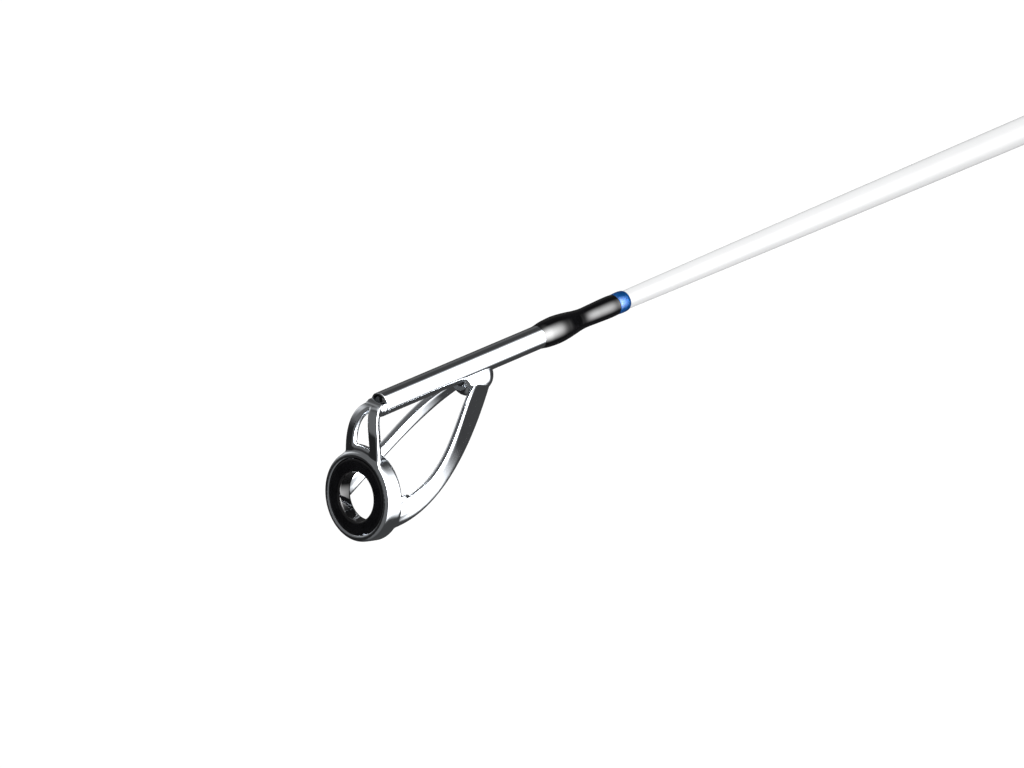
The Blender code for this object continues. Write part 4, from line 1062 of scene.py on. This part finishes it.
def web_grid():
    """Curved plate on top of the collar that closes the slot at the bottom; it
    sinks into the collar beyond the feet of the fork."""
    degrees = np.radians(np.linspace(-WEB_HALF_ANGLE, WEB_HALF_ANGLE, 61))[:, None]
    across, out = flat_oval(32, PLATE_POWER)
    bore = TIP_RING + RING_EASE
    low = bore + TIP_WALL * 0.3
    past = np.degrees(np.abs(degrees)) - WEB_SINK_ANGLE
    sunk = np.clip(past / (WEB_HALF_ANGLE - WEB_SINK_ANGLE), 0.0, 1.0) ** 0.8
    high = bore + TIP_WALL + 0.48 - 0.62 * sunk * (2.0 - sunk)
    radius = (low + high) / 2.0 + (high - low) / 2.0 * across
    depth = np.broadcast_to(TIP_DEPTH * 0.25 + 0.32 * out, radius.shape)
    turn = np.broadcast_to(math.pi - degrees, radius.shape)
    return closed_ends(spun(-depth, turn, radius, TIP_SEAT.centre, TIP_SEAT.tilt))


def nose_grid():
    """Half-round plug in the lower half of the tube's mouth: a half circle
    closed by a flat top, carried forward a little while it shrinks."""
    angle = np.linspace(0.0, math.pi, 25)
    sections = []
    for along, width, top, bottom in NOSE_SECTIONS:
        place = ROD_LENGTH + along
        arc = np.column_stack([np.full(25, place), width * np.cos(angle), -bottom * np.sin(angle)])
        top_edge = [[place, side * width * 0.93, top] for side in (-1.0, 1.0)]
        sections.append(np.vstack([arc, top_edge, arc[:1]]))
    return closed_ends(np.array(sections))


def saddle_grid():
    """Block under the tube in which the legs meet. Its depth below the tube falls
    off on each side with the power 2.2 of the angle, and fades at both ends."""
    share = np.linspace(0.0, 1.0, 33)
    fade = np.sqrt(np.clip(1.0 - (2.0 * share - 1.0) ** 4, 0.0, 1.0))
    depth = SADDLE_DEPTH * (0.2 + 0.8 * fade)
    reach = math.radians(SADDLE_HALF_ANGLE) * (0.8 + 0.2 * fade)
    place = np.linspace(-1.0, 1.0, 61)
    outer = TUBE_RADIUS + depth[:, None] * (1.0 - np.abs(place) ** 2.2)
    inner = np.full_like(outer, TUBE_RADIUS - 0.12)
    radius = np.hstack([outer, inner[:, ::-1], outer[:, :1]])
    angle = reach[:, None] * np.concatenate([place, place[::-1], place[:1]])
    along = np.broadcast_to((ROD_LENGTH - SADDLE_BACK + SADDLE_LENGTH * share)[:, None], radius.shape)
    return closed_ends(np.stack([along, radius * np.sin(angle), -radius * np.cos(angle)], axis=-1))


# Reel seat and its hoods

def hull_radius(circles, angle):
    """Distance from the rod's line to a band drawn tight round circles.

    It is the least, over the directions near an angle, of how far the circles
    reach in a direction divided by the cosine between the two.
    """
    facing = np.linspace(-math.pi, math.pi, 1441)
    reach = np.max([y * np.sin(facing) - z * np.cos(facing) + radius for y, z, radius in circles],
                   axis=0)
    share = np.cos(angle[:, None] - facing[None, :])
    far = np.where(share > 0.05, reach / np.maximum(share, 0.05), np.inf)
    return far.min(axis=1)


# Shares of a hood's length, from its mouth, at which its roof begins to lift and
# its pocket begins to narrow and ends
ROOF_LIFTS = 0.55
POCKET_NARROWS = 0.70
POCKET_ENDS = 0.85
RECESS_DEPTH = 1.6


def hood_grid(middle, mouth, recess):
    """Reel foot hood: a barrel round the seat joined to a pocket under it.

    Rings run from the mouth over the outside to the closed end, where the
    pocket's roof lifts with the power 2.2 of the way, and back through the
    bore, round the pocket. `mouth` is +1 when it opens towards the tip.
    """
    angle = round_angles(240)
    corner = POCKET_CORNER + HOOD_WALL
    side = POCKET_HALF_WIDTH - POCKET_CORNER
    deepest = POCKET_FLOOR - POCKET_CORNER
    barrel = SEAT_RADIUS + SLIDE_GAP + HOOD_WALL

    def outside(share):
        past = max(0.0, (share - ROOF_LIFTS) / 0.45)
        lift = 2.6 * past**2.2
        circles = [(0.0, 0.0, barrel), (side, lift - deepest, corner), (-side, lift - deepest, corner)]
        return hull_radius(circles, angle) - 0.15 * past**6

    def place(share):
        return middle + mouth * HOOD_LENGTH * (0.5 - share)

    def pocket(less):
        corners = [(y, -z, POCKET_CORNER - less) for z in (deepest, FOOT_BED_DROP - POCKET_CORNER)
                   for y in (side, -side)]
        return np.maximum(bore, hull_radius([(0.0, 0.0, 1.0), *corners], angle))

    bore = np.full(len(angle), SEAT_RADIUS + SLIDE_GAP)
    wide, narrow = pocket(0.0), pocket(0.5)
    rows = [(place(share), outside(share)) for share in (0.0, 0.3, *np.linspace(ROOF_LIFTS, 1.0, 12))]
    if recess:
        wider = np.full(len(angle), NUT_NOSE_RADIUS + SLIDE_GAP)
        step = place(1.0 - RECESS_DEPTH / HOOD_LENGTH)
        rows += [(place(1.0), wider), (step, wider), (step, bore)]
    else:
        rows.append((place(1.0), bore))
    rows += [(place(POCKET_ENDS), bore), (place(POCKET_ENDS), narrow), (place(POCKET_NARROWS), wide),
             (place(0.0), wide)]
    return formed(rows, 0.3)


THREAD_LENGTH = 43.0
THREAD_LEAD = 2.0
THREAD_DEPTH = 0.55
# Half the lead runs from 0 on the crest to 1 in the groove: where its flank
# begins, and how long it is
FLANK_START = 0.30
FLANK_SHARE = 0.5
# The foot rest keeps this far from both hoods
REST_CLEARANCE = 1.25
SEAT_EDGE = 0.5
# Half the distance between the two rows of points that make a step
STEP = 0.02


def seat_grid():
    """Reel seat: a tube with a flat foot bed below, a raised rest on it, a
    keyway above, and a rounded thread that fades out at its front end.

    The thread's phase is the place over the lead less the share of a turn, and
    its flank is a smooth step of the phase. A flat is the least of the round
    radius and its drop over the cosine of the angle from its middle.
    """
    start, end = span("reel_seat_body")
    thread_end = start + THREAD_LENGTH
    keyway_end = span("fixed_hood")[0]
    rest_start, rest_end = span("movable_hood")[1] + REST_CLEARANCE, keyway_end - REST_CLEARANCE
    steps = [place + side for place in (rest_start, rest_end) for side in (-STEP, STEP)]
    along = np.unique(np.round(np.concatenate([
        spaced(start, start + 1.0, 8), np.linspace(start + 1.2, thread_end, 262),
        np.linspace(thread_end + 1.0, keyway_end - STEP, 24), [keyway_end + STEP, keyway_end + 5.0],
        spaced(end - 1.0, end, 8), steps]), 4))
    place, turn = np.meshgrid(along, round_angles(200), indexing="ij")
    radius = np.full(place.shape, SEAT_RADIUS)
    radius -= SEAT_EDGE * (1.0 - quarter(np.minimum(place - start, end - place), SEAT_EDGE))
    phase = np.abs(np.mod((place - start) / THREAD_LEAD - turn / (2.0 * math.pi), 1.0) - 0.5) * 2.0
    groove = np.clip((phase - FLANK_START) / FLANK_SHARE, 0.0, 1.0)
    groove = groove**2 * (3.0 - 2.0 * groove)
    fade = np.clip((place - start - 1.6) / 1.2, 0.0, 1.0) * np.clip((thread_end - place) / 1.6, 0.0, 1.0)
    radius -= THREAD_DEPTH * groove * fade
    down, across = np.cos(turn), np.abs(radius * np.sin(turn))
    on_rest = (across < FOOT_REST_HALF_WIDTH) & (place > rest_start) & (place < rest_end)
    bed = np.where(on_rest, FOOT_REST_DROP, FOOT_BED_DROP)
    radius = np.where(down > 0.5, np.minimum(radius, bed / np.maximum(down, 0.5)), radius)
    across = np.abs(radius * np.sin(turn))
    in_key = (down < -0.5) & (across < KEYWAY_HALF_WIDTH) & (place < keyway_end)
    radius = np.where(in_key, np.minimum(radius, FOOT_BED_DROP / np.maximum(-down, 0.5)), radius)
    bore = np.full((2, radius.shape[1]), SEAT_RADIUS - SEAT_WALL)
    return wrapped(np.append(along, (end, start)), np.concatenate([radius, bore]))


NUT_FLUTES = 12
FLUTE_DEPTH = 0.55
# Rows of the nut's outside: place along it, radius less than the full one, and
# the share of a flute's depth there
NUT_OUTSIDE = (
    (0.0, 0.75, 0.3), (0.5, 0.0, 0.9), (2.0, 0.0, 1.0), (6.5, 0.0, 1.0), (8.3, 0.0, 0.8), (9.0, 0.5, 0.2),
    (9.0, 0.95, 0.0), (9.8, 0.95, 0.0), (9.8, 0.5, 0.0), (NUT_LENGTH, 0.6, 0.0),
)


def nut_grid():
    """Ring nut with twelve flutes and a plain nose. A flute's depth follows the
    power 0.8 of minus the cosine of twelve times the angle, where it is above
    zero, and fades at both ends of the grip."""
    start = span("lock_nut")[0]
    angle = round_angles(360)
    wave = np.maximum(0.0, -np.cos(NUT_FLUTES * angle)) ** 0.8
    plain = np.ones(len(angle))
    rows = [(start + along, (NUT_RADIUS - less) * plain - FLUTE_DEPTH * depth * wave)
            for along, less, depth in NUT_OUTSIDE]
    bore = SEAT_RADIUS + SLIDE_GAP
    nose = NUT_LENGTH + 1.4
    rows += [(start + along, radius * plain) for along, radius in (
        (NUT_LENGTH, NUT_NOSE_RADIUS), (nose - 0.25, NUT_NOSE_RADIUS), (nose, NUT_NOSE_RADIUS - 0.3),
        (nose, bore + 0.1), (nose - 0.2, bore), (0.3, bore), (0.0, bore + 0.25))]
    return formed(rows, 0.28)


# Properties a user would change

def colour_property(label, about, default):
    """A colour in the sidebar."""
    return bpy.props.FloatVectorProperty(name=label, description=about, default=default, subtype="COLOR",
                                         size=3, min=0.0, max=1.0)


class RodFinish(bpy.types.PropertyGroup):
    """Colours and finishes of the rod."""
    blank_colour: colour_property("Blank", "Lacquer of the blank", (0.92, 0.925, 0.93))
    thread_colour: colour_property("Thread", "Winding thread under its epoxy", (0.0012, 0.0012, 0.0016))
    band_colour: colour_property("Trim band", "Metallic thread beside each winding", (0.001, 0.06, 0.23))
    steel_colour: colour_property("Steel", "Polished guide frames and hoods", (0.77, 0.80, 0.84))
    ceramic_colour: colour_property("Ceramic", "Ring inserts", (0.002, 0.002, 0.0025))
    cork_colour: colour_property("Cork", "Grips", (0.60, 0.40, 0.23))
    rubber_colour: colour_property("Rubber", "Butt cap and hood pads", (0.022, 0.022, 0.023))
    anodised_colour: colour_property("Trim rings", "Dyed aluminium rings", (0.01, 0.13, 0.44))
    seat_colour: colour_property("Reel seat", "Moulded seat and nut", (0.016, 0.016, 0.018))
    thread_pitch: bpy.props.FloatProperty(
        name="Thread pitch", description="Distance from one turn of thread to the next", unit="LENGTH",
        subtype="DISTANCE", default=0.00016, min=0.00005, max=0.001)
    cork_disc: bpy.props.FloatProperty(
        name="Cork disc", description="Thickness of one cork disc", unit="LENGTH", subtype="DISTANCE",
        default=0.0127, min=0.003, max=0.05)


class RodStage(bpy.types.PropertyGroup):
    """Floor, lamp and camera."""
    floor_drop: bpy.props.FloatProperty(
        name="Floor below", description="Distance of the floor below the rod's line", unit="LENGTH",
        subtype="DISTANCE", default=0.08, min=0.04, max=1.0)
    key_power: bpy.props.FloatProperty(
        name="Key lamp", description="Strength of the soft sun overhead", default=0.5, min=0.0, max=10.0)
    lens: bpy.props.FloatProperty(
        name="Lens", description="Focal length of the camera", unit="CAMERA", default=181.8,
        min=20.0, max=400.0)


# Operators

class ROD_OT_blank(bpy.types.Operator):
    """White lacquered blank sections and the ferrule's sleeve."""
    bl_idname = "rod.blank"
    bl_label = "Blank"

    def execute(self, context):
        tube("butt_blank", "white_blank", 110, blank_radius,
             lambda along: blank_radius(along) - BLANK_WALL, BLANK_EDGE, MEDIUM)
        start, end = span("tip_blank")
        along = spaced(start, end, 160)
        outer = round_over(along, blank_radius(along), BLANK_EDGE)
        line = np.vstack([[start, 0.0], np.column_stack([along, outer]), [end, 0.0]])
        piece("tip_blank", [turned(line, MEDIUM)], "white_blank")
        end = span("ferrule_sleeve")[1]

        def bore(along):
            return blank_radius(along) + SLEEVE_GAP

        def outside(along):
            thinned = 1.0 - 0.8 * np.clip(1.0 - (end - along) / 4.0, 0.0, 1.0) ** 1.5
            return bore(along) + SLEEVE_WALL * thinned

        tube("ferrule_sleeve", "white_blank", 60, outside, bore, 0.12, MEDIUM)
        return {"FINISHED"}


class ROD_OT_windings(bpy.types.Operator):
    """Thread and epoxy at the ferrule."""
    bl_idname = "rod.windings"
    bl_label = "Ferrule windings"

    def execute(self, context):
        sleeve = widest("ferrule_sleeve")
        winding("ferrule_wrap", "black_thread", sleeve, THREAD_HEIGHT)
        winding("ferrule_trim_band", "blue_band", sleeve, BAND_HEIGHT, BAND_FEATHER)
        winding("sleeve_top_wrap", "black_thread", blank_radius, THREAD_HEIGHT)
        winding("butt_stop_wrap", "black_thread", blank_radius, THREAD_HEIGHT)
        return {"FINISHED"}


class ROD_OT_tip_top(bpy.types.Operator):
    """Tip-top: tube, one-piece frame and ring."""
    bl_idname = "rod.tip_top"
    bl_label = "Tip-top"

    def execute(self, context):
        tube("tip_tube", "stainless", 60, lambda along: np.full(len(along), TUBE_RADIUS),
             lambda along: TUBE_BORE_RADIUS, 0.07)
        fused("tip_frame", tip_frame_grids(), TIP_VOXEL, 6)
        ring = turned(ring_line(TIP_RING, TIP_BORE, TIP_THICKNESS), FINE, TIP_SEAT.centre, TIP_SEAT.tilt)
        piece("tip_ring", [ring], "black_ceramic")
        return {"FINISHED"}


class ROD_OT_tip_winding(bpy.types.Operator):
    """Winding over the tip-top's tube and its blue trim band."""
    bl_idname = "rod.tip_winding"
    bl_label = "Tip winding"

    def execute(self, context):
        rear, front = span("tip_wrap")
        rear += TIP_WRAP_SHORT
        tube_end = ROD_LENGTH - TUBE_LENGTH
        outline = flowing([
            (rear, 0.865), (tube_end - 4.1, 0.885), (tube_end - 2.7, 0.85), (tube_end - 1.4, 0.815),
            (tube_end - 0.6, 0.875), (tube_end + 0.15, 0.985), (tube_end + 0.9, 1.08),
            (front - 1.9, 1.14), (front - 0.8, 1.09), (front, TUBE_RADIUS + 0.02)], 140)
        along, outer = outline[:, 0], outline[:, 1]
        inner = np.where(along > tube_end, TUBE_RADIUS - 0.02, blank_radius(along) + 0.02)
        piece("tip_wrap", [turned(shell_line(along, outer, inner))], "black_thread")
        band = winding_line(rear - TIP_BAND_LENGTH, rear + 0.02, blank_radius, TIP_BAND_HEIGHT,
                            BAND_FEATHER)
        piece("tip_trim_band", [turned(band, FINE)], "blue_band")
        return {"FINISHED"}


class ROD_OT_guides(bpy.types.Operator):
    """The five ring guides with their windings and trim bands."""
    bl_idname = "rod.guides"
    bl_label = "Guides"

    def execute(self, context):
        for label, sizes in GUIDES.items():
            guide(label, *sizes)
        return {"FINISHED"}


# The hook keeper's wire, and half the distance between the starts of its feet
KEEPER_RADIUS = 0.5
KEEPER_HALF = 5.5


class ROD_OT_hook_keeper(bpy.types.Operator):
    """Bent wire hook keeper and the windings over its feet."""
    bl_idname = "rod.hook_keeper"
    bl_label = "Hook keeper"

    def execute(self, context):
        low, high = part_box("hook_keeper")
        station = (low.x + high.x) / 2.0 / MM
        lie = float(blank_radius(station)) + GLUE_GAP + 0.1 + KEEPER_RADIUS
        depth = -low.z / MM - KEEPER_RADIUS
        side = np.array([(KEEPER_HALF + out, down) for out, down in (
            (6.0, lie), (3.0, lie), (0.8, lie), (0.1, lie + 0.3), (-0.4, lie + 1.0), (-1.4, depth - 1.3),
            (-2.2, depth - 0.35), (-3.2, depth))])
        route = np.vstack([side, side[::-1] * np.array([-1.0, 1.0])])
        route[:, 0] += station
        route[:, 1] *= -1.0
        piece("hook_keeper", [wire(flowing(route, 260), KEEPER_RADIUS)], "stainless")
        height = 2.0 * KEEPER_RADIUS + 0.1 + GLUE_GAP
        for end in ("front", "rear"):
            foot_winding("keeper_wrap_" + end, KEEPER_RADIUS, height, end == "front")
        return {"FINISHED"}


class ROD_OT_butt_cap(bpy.types.Operator):
    """Rubber butt cap with moulded grooves."""
    bl_idname = "rod.butt_cap"
    bl_label = "Butt cap"

    def execute(self, context):
        start, end = span("butt_cap")
        radius = widest("butt_cap")
        bore = float(blank_radius(4.4)) + GLUE_GAP
        floor = 4.1
        groove = ((0.45, 0.0), (0.2, 0.35), (-0.2, 0.35), (-0.45, 0.0))
        side = [(end, radius - 0.5), (end - 0.6, radius)]
        side += [(middle + along, radius - less)
                 for middle in (10.8, 9.2, 7.6) for along, less in groove]
        side += [(5.0, radius), (2.4, radius - 0.6), (0.8, radius - 1.5), (start, radius - 2.8)]
        face = [(start, 7.6), (0.3, 7.3), (0.3, 6.7), (start, 6.4), (start, 0.0)]
        line = eased([(floor, 0.0), (floor, bore), (end, bore), *side, *face], 0.35)
        piece("butt_cap", [turned(np.vstack([[(floor, 0.0)], line]), FINE)], "rubber")
        return {"FINISHED"}


class ROD_OT_trim_rings(bpy.types.Operator):
    """Blue anodised trim rings and the winding check."""
    bl_idname = "rod.trim_rings"
    bl_label = "Trim rings"

    def execute(self, context):
        for name, rear, front in (
                ("cap_trim_ring", 12.25, 12.25),
                ("rear_grip_check", 7.75, float(blank_radius(90.5)) + 1.2),
                ("collar_check", float(blank_radius(152.0)) + 1.2, 7.55)):
            start, end = span(name)
            bore = float(blank_radius(start)) + GLUE_GAP
            third, rise = (end - start) / 3.0, (front - rear) / 3.0
            line = eased_loop([
                (start, bore), (start, rear - 0.3), (start + 0.3, rear), (start + third, rear + rise),
                (start + third + 0.1, rear + rise - 0.12), (end - third - 0.1, front - rise - 0.12),
                (end - third, front - rise), (end - 0.3, front), (end, front - 0.3), (end, bore)], 0.12)
            piece(name, [turned(line)], "blue_anodised", RING_CREASE)
        start, end = span("winding_check")
        wide = widest("winding_check")
        tail = float(blank_radius(end)) + 0.7
        bore = float(blank_radius(start)) + GLUE_GAP
        line = eased_loop([
            (start, bore), (start, wide - 0.2), (start + 0.2, wide), (start + 1.3, wide),
            (start + 1.5, wide - 0.25), (start + 1.7, wide - 0.95), (end - 1.4, tail + 0.35),
            (end - 0.3, tail), (end, tail - 0.25), (end, bore)], 0.2)
        piece("winding_check", [turned(line)], "blue_anodised", RING_CREASE)
        return {"FINISHED"}


# Each grip's outline: radii at shares of its length
GRIPS = {
    "rear_grip": ((0.0, 11.9), (0.10, 11.9), (0.25, 11.45), (0.42, 10.2), (0.56, 10.2), (0.70, 10.65),
                  (0.80, 10.45), (0.91, 8.8), (1.0, 7.4)),
    "collar_grip": ((0.0, 7.2), (0.25, 8.1), (0.6, 9.1), (0.85, 9.6), (1.0, 9.6)),
    "fore_grip": ((0.0, 10.4), (0.12, 10.7), (0.28, 10.6), (0.46, 9.7), (0.64, 8.5), (0.82, 7.4),
                  (1.0, 6.6)),
}


class ROD_OT_grips(bpy.types.Operator):
    """Cork grips: rear grip, collar and fore grip."""
    bl_idname = "rod.grips"
    bl_label = "Cork grips"

    def execute(self, context):
        for name, radii in GRIPS.items():
            start, end = span(name)
            shape = flowing([(start + share * (end - start), radius) for share, radius in radii], 200)
            tube(name, "cork", 120, lambda along: np.interp(along, shape[:, 0], shape[:, 1]),
                 lambda along: blank_radius(along) + GLUE_GAP, 0.3)
        return {"FINISHED"}


class ROD_OT_reel_seat(bpy.types.Operator):
    """Threaded reel seat and the arbors inside it."""
    bl_idname = "rod.reel_seat"
    bl_label = "Reel seat"

    def execute(self, context):
        piece("reel_seat_body", [seat_grid()], "graphite", SOFT_CREASE)
        for name in ("seat_arbor_rear", "seat_arbor_front"):
            along = spaced(*span(name), 30)
            line = shell_line(along, SEAT_RADIUS - SEAT_WALL - GLUE_GAP, blank_radius(along) + GLUE_GAP)
            piece(name, [turned(line, MEDIUM)], "foam")
        return {"FINISHED"}


class ROD_OT_hoods(bpy.types.Operator):
    """Fixed and movable hoods with their pads."""
    bl_idname = "rod.hoods"
    bl_label = "Reel hoods"

    def execute(self, context):
        for name, mouth in (("fixed_hood", -1.0), ("movable_hood", 1.0)):
            start, end = span(name)
            grids = [hood_grid((start + end) / 2.0, mouth, mouth > 0.0)]
            if mouth > 0.0:
                half = KEYWAY_HALF_WIDTH - SLIDE_GAP
                key_low = (start + 2.4, -half, FOOT_BED_DROP + SLIDE_GAP)
                grids.append(bar(key_low, (end - 1.0, half, 9.5), 0.1))
            piece(name, grids, "stainless", FORMED_CREASE)
            low, high = (np.array(corner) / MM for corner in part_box(name + "_pad"))
            piece(name + "_pad", [bar(low, high, 0.2)], "rubber")
        return {"FINISHED"}


class ROD_OT_lock_nut(bpy.types.Operator):
    """Fluted lock nut."""
    bl_idname = "rod.lock_nut"
    bl_label = "Lock nut"

    def execute(self, context):
        piece("lock_nut", [nut_grid()], "graphite", FORMED_CREASE)
        return {"FINISHED"}


class ROD_OT_stage(bpy.types.Operator):
    """Floor, soft light, surroundings and the camera."""
    bl_idname = "rod.stage"
    bl_label = "Stage"

    def execute(self, context):
        settings = context.scene.rod_stage
        make_floor(settings.floor_drop)
        make_world(context.scene)
        make_lamp(settings.key_power)
        make_camera(context.scene, settings.lens)
        context.scene.view_settings.view_transform = "Standard"
        return {"FINISHED"}


# Stage

# Half the floor's side in metres, its colour, and what brings it to white for the
# camera alone
FLOOR_HALF = 6.0
FLOOR_COLOUR = (0.9, 0.9, 0.9, 1.0)
FLOOR_LIFT = 0.10
# The world's level for matt surfaces, where 1 is white
MATT_LEVEL = 0.9


def make_floor(drop):
    """A flat square; its upper face is white, its lower face lets the camera through."""
    corners = np.array([(-1.0, -1.0), (1.0, -1.0), (1.0, 1.0), (-1.0, 1.0)]) * FLOOR_HALF
    corners[:, 0] += ROD_LENGTH * MM / 2.0
    mesh = bpy.data.meshes.new("floor")
    mesh.from_pydata(np.column_stack([corners, np.full(4, -drop)]).tolist(), [], [(0, 1, 2, 3)])
    floor = bpy.data.objects.new("floor", mesh)
    bpy.context.scene.collection.objects.link(floor)
    floor.visible_glossy = False
    made, tree, shader, _ = material("floor")
    connect(tree, shader, colour=FLOOR_COLOUR, rough=1.0, specular=0.0)
    camera_ray = node(tree, "ShaderNodeLightPath").outputs["Is Camera Ray"]
    lift = node(tree, "ShaderNodeEmission", {"Strength": times(tree, camera_ray, FLOOR_LIFT)})
    added = node(tree, "ShaderNodeAddShader", {0: shader.outputs[0], 1: lift.outputs[0]})
    under = node(tree, "ShaderNodeNewGeometry").outputs["Backfacing"]
    clear = node(tree, "ShaderNodeBsdfTransparent")
    through = node(tree, "ShaderNodeMixShader", {0: under, 1: added.outputs[0], 2: clear.outputs[0]})
    tree.links.new(through.outputs[0], tree.nodes["Material Output"].inputs["Surface"])
    mesh.materials.append(made)


def panel_group():
    """A soft panel far away, as glossy surfaces mirror it. Its mask fades with a
    direction's angle round the rod and its share along the rod, over the outer
    part of the panel that the softness gives."""
    tree, given, out = group("studio_panel", {
        "Angle": 0.0, "Along": 0.0, "Middle angle": 0.0, "Half angle": 0.5, "Middle along": 0.0,
        "Half along": 0.5, "Softness": 1.0}, "Mask")
    firm = sums(tree, "SUBTRACT", 1.0, given["Softness"])
    turn = sums(tree, "SUBTRACT", given["Angle"], given["Middle angle"])
    turn = sums(tree, "ARCCOSINE", sums(tree, "COSINE", turn))
    away = sums(tree, "ABSOLUTE", sums(tree, "SUBTRACT", given["Along"], given["Middle along"]))
    masks = [ranged(tree, off, times(tree, half, firm), half, 1.0, 0.0)
             for off, half in ((turn, given["Half angle"]), (away, given["Half along"]))]
    tree.links.new(times(tree, *masks), out["Mask"])


# What glossy surfaces mirror, laid one over another on a dark room: middle and
# half width of a panel's angle from +Y towards +Z, in degrees, middle and half
# width of its share along the rod, softness, level
ROOM_LEVEL = 0.06
PANELS = (
    (0.0, 400.0, 0.80, 0.95, 0.6, 0.15),
    (160.0, 38.0, -0.02, 0.45, 1.0, 0.9),
    (90.0, 50.0, -0.22, 0.28, 1.0, 1.5),
    (18.0, 75.0, -0.36, 0.47, 1.0, 24.0),
    (150.0, 28.0, -0.63, 0.22, 1.0, 0.14),
    (-145.0, 45.0, 0.5, 0.9, 0.5, 0.02),
)


def make_world(scene):
    """White for the camera, plain soft white for matt surfaces, and for glossy
    ones a dark room with soft panels."""
    world = bpy.data.worlds.new("studio")
    scene.world = world
    world.use_nodes = True
    tree = world.node_tree
    tree.nodes.clear()
    panel_group()
    direction = node(tree, "ShaderNodeTexCoord").outputs["Generated"]
    toward = node(tree, "ShaderNodeSeparateXYZ", {0: direction}).outputs
    angle = sums(tree, "ARCTAN2", toward["Z"], toward["Y"])
    seen = ROOM_LEVEL
    for middle, half, along, half_along, softness, level in PANELS:
        mask = use(tree, "studio_panel", angle=angle, along=toward["X"], softness=softness,
                   middle_angle=math.radians(middle), half_angle=math.radians(half),
                   middle_along=along, half_along=half_along)["Mask"]
        seen = node(tree, "ShaderNodeMix", {0: mask, 2: seen, 3: level}).outputs[0]
    path = node(tree, "ShaderNodeLightPath").outputs
    mirror = sums(tree, "MAXIMUM", path["Is Glossy Ray"], path["Is Transmission Ray"])
    matt = node(tree, "ShaderNodeMix", {0: mirror, 2: MATT_LEVEL, 3: seen}).outputs[0]
    shown = node(tree, "ShaderNodeMix", {0: path["Is Camera Ray"], 2: matt, 3: 1.0}).outputs[0]
    back = node(tree, "ShaderNodeBackground", {"Color": (1.0, 1.0, 1.0, 1.0), "Strength": shown})
    node(tree, "ShaderNodeOutputWorld", {"Surface": back.outputs[0]})


def make_lamp(strength):
    """A broad, soft sun from above, a little from the camera's side, whose shadow
    falls beside what the camera sees of the floor."""
    lamp = bpy.data.lights.new("overhead", "SUN")
    lamp.energy = strength
    lamp.angle = math.radians(24.0)
    made = bpy.data.objects.new("overhead", lamp)
    made.rotation_euler = Vector((0.0, -0.42, -0.91)).to_track_quat("-Z", "X").to_euler()
    made.location = (ROD_LENGTH * MM / 2.0, 0.0, 1.0)
    bpy.context.scene.collection.objects.link(made)
    made.visible_glossy = False


# The photograph: where the tube's mouth lies in it, and its scale there
MOUTH_PIXEL = (379.5, 404.6)
PIXELS_PER_MM = 12.93
CAMERA_DISTANCE = 400.0


def make_camera(scene, lens):
    """The photograph's viewpoint: in front of the tip, to its left, looking
    back and down. The tube's mouth comes at its pixel of the picture."""
    right = Vector((-0.711, 0.702, -0.04)).normalized()
    up = Vector((-0.307, -0.259, 0.916))
    up = (up - right * up.dot(right)).normalized()
    back = right.cross(up)
    aim = Vector((ROD_LENGTH, 0.0, 0.0))
    aim += right * ((IMAGE_WIDTH / 2.0 - MOUTH_PIXEL[0]) / PIXELS_PER_MM)
    aim += up * ((MOUTH_PIXEL[1] - IMAGE_HEIGHT / 2.0) / PIXELS_PER_MM)
    camera = bpy.data.cameras.new("camera")
    camera.sensor_width = 36.0
    camera.lens = lens
    camera.clip_start = 0.01
    camera.clip_end = 100.0
    made = bpy.data.objects.new("camera", camera)
    turn = Matrix((right, up, back)).transposed().to_4x4()
    turn.translation = (aim + back * CAMERA_DISTANCE) * MM
    made.matrix_world = turn
    scene.collection.objects.link(made)
    scene.camera = made


STEPS = (
    ROD_OT_blank, ROD_OT_windings, ROD_OT_tip_top, ROD_OT_tip_winding, ROD_OT_guides,
    ROD_OT_hook_keeper, ROD_OT_butt_cap, ROD_OT_trim_rings, ROD_OT_grips, ROD_OT_reel_seat,
    ROD_OT_hoods, ROD_OT_lock_nut, ROD_OT_stage,
)


class ROD_PT_steps(bpy.types.Panel):
    """Lists the steps and the values that they use."""
    bl_idname = "ROD_PT_steps"
    bl_label = "Spinning rod"
    bl_space_type = "VIEW_3D"
    bl_region_type = "UI"
    bl_category = "Rod"

    def draw(self, context):
        for settings in (context.scene.rod_finish, context.scene.rod_stage):
            box = self.layout.box()
            for key in settings.__annotations__:
                box.prop(settings, key)
        for step in STEPS:
            self.layout.operator(step.bl_idname)


CLASSES = (RodFinish, RodStage, *STEPS, ROD_PT_steps)


def register():
    """Adds the classes and the two sets of properties to Blender."""
    for made in CLASSES:
        bpy.utils.register_class(made)
    bpy.types.Scene.rod_finish = bpy.props.PointerProperty(type=RodFinish)
    bpy.types.Scene.rod_stage = bpy.props.PointerProperty(type=RodStage)


def unregister():
    """Takes them out again, the last first."""
    del bpy.types.Scene.rod_stage
    del bpy.types.Scene.rod_finish
    for made in reversed(CLASSES):
        bpy.utils.unregister_class(made)


def main():
    register()
    for make in (winding_group, slow_group, scratch_group, lathe_group, cells_group, disc_group):
        make()
    bpy.ops.rod.blank()
    bpy.ops.rod.windings()
    bpy.ops.rod.tip_top()
    bpy.ops.rod.tip_winding()
    bpy.ops.rod.guides()
    bpy.ops.rod.hook_keeper()
    bpy.ops.rod.butt_cap()
    bpy.ops.rod.trim_rings()
    bpy.ops.rod.grips()
    bpy.ops.rod.reel_seat()
    bpy.ops.rod.hoods()
    bpy.ops.rod.lock_nut()
    bpy.ops.rod.stage()


if __name__ == "__main__":
    main()
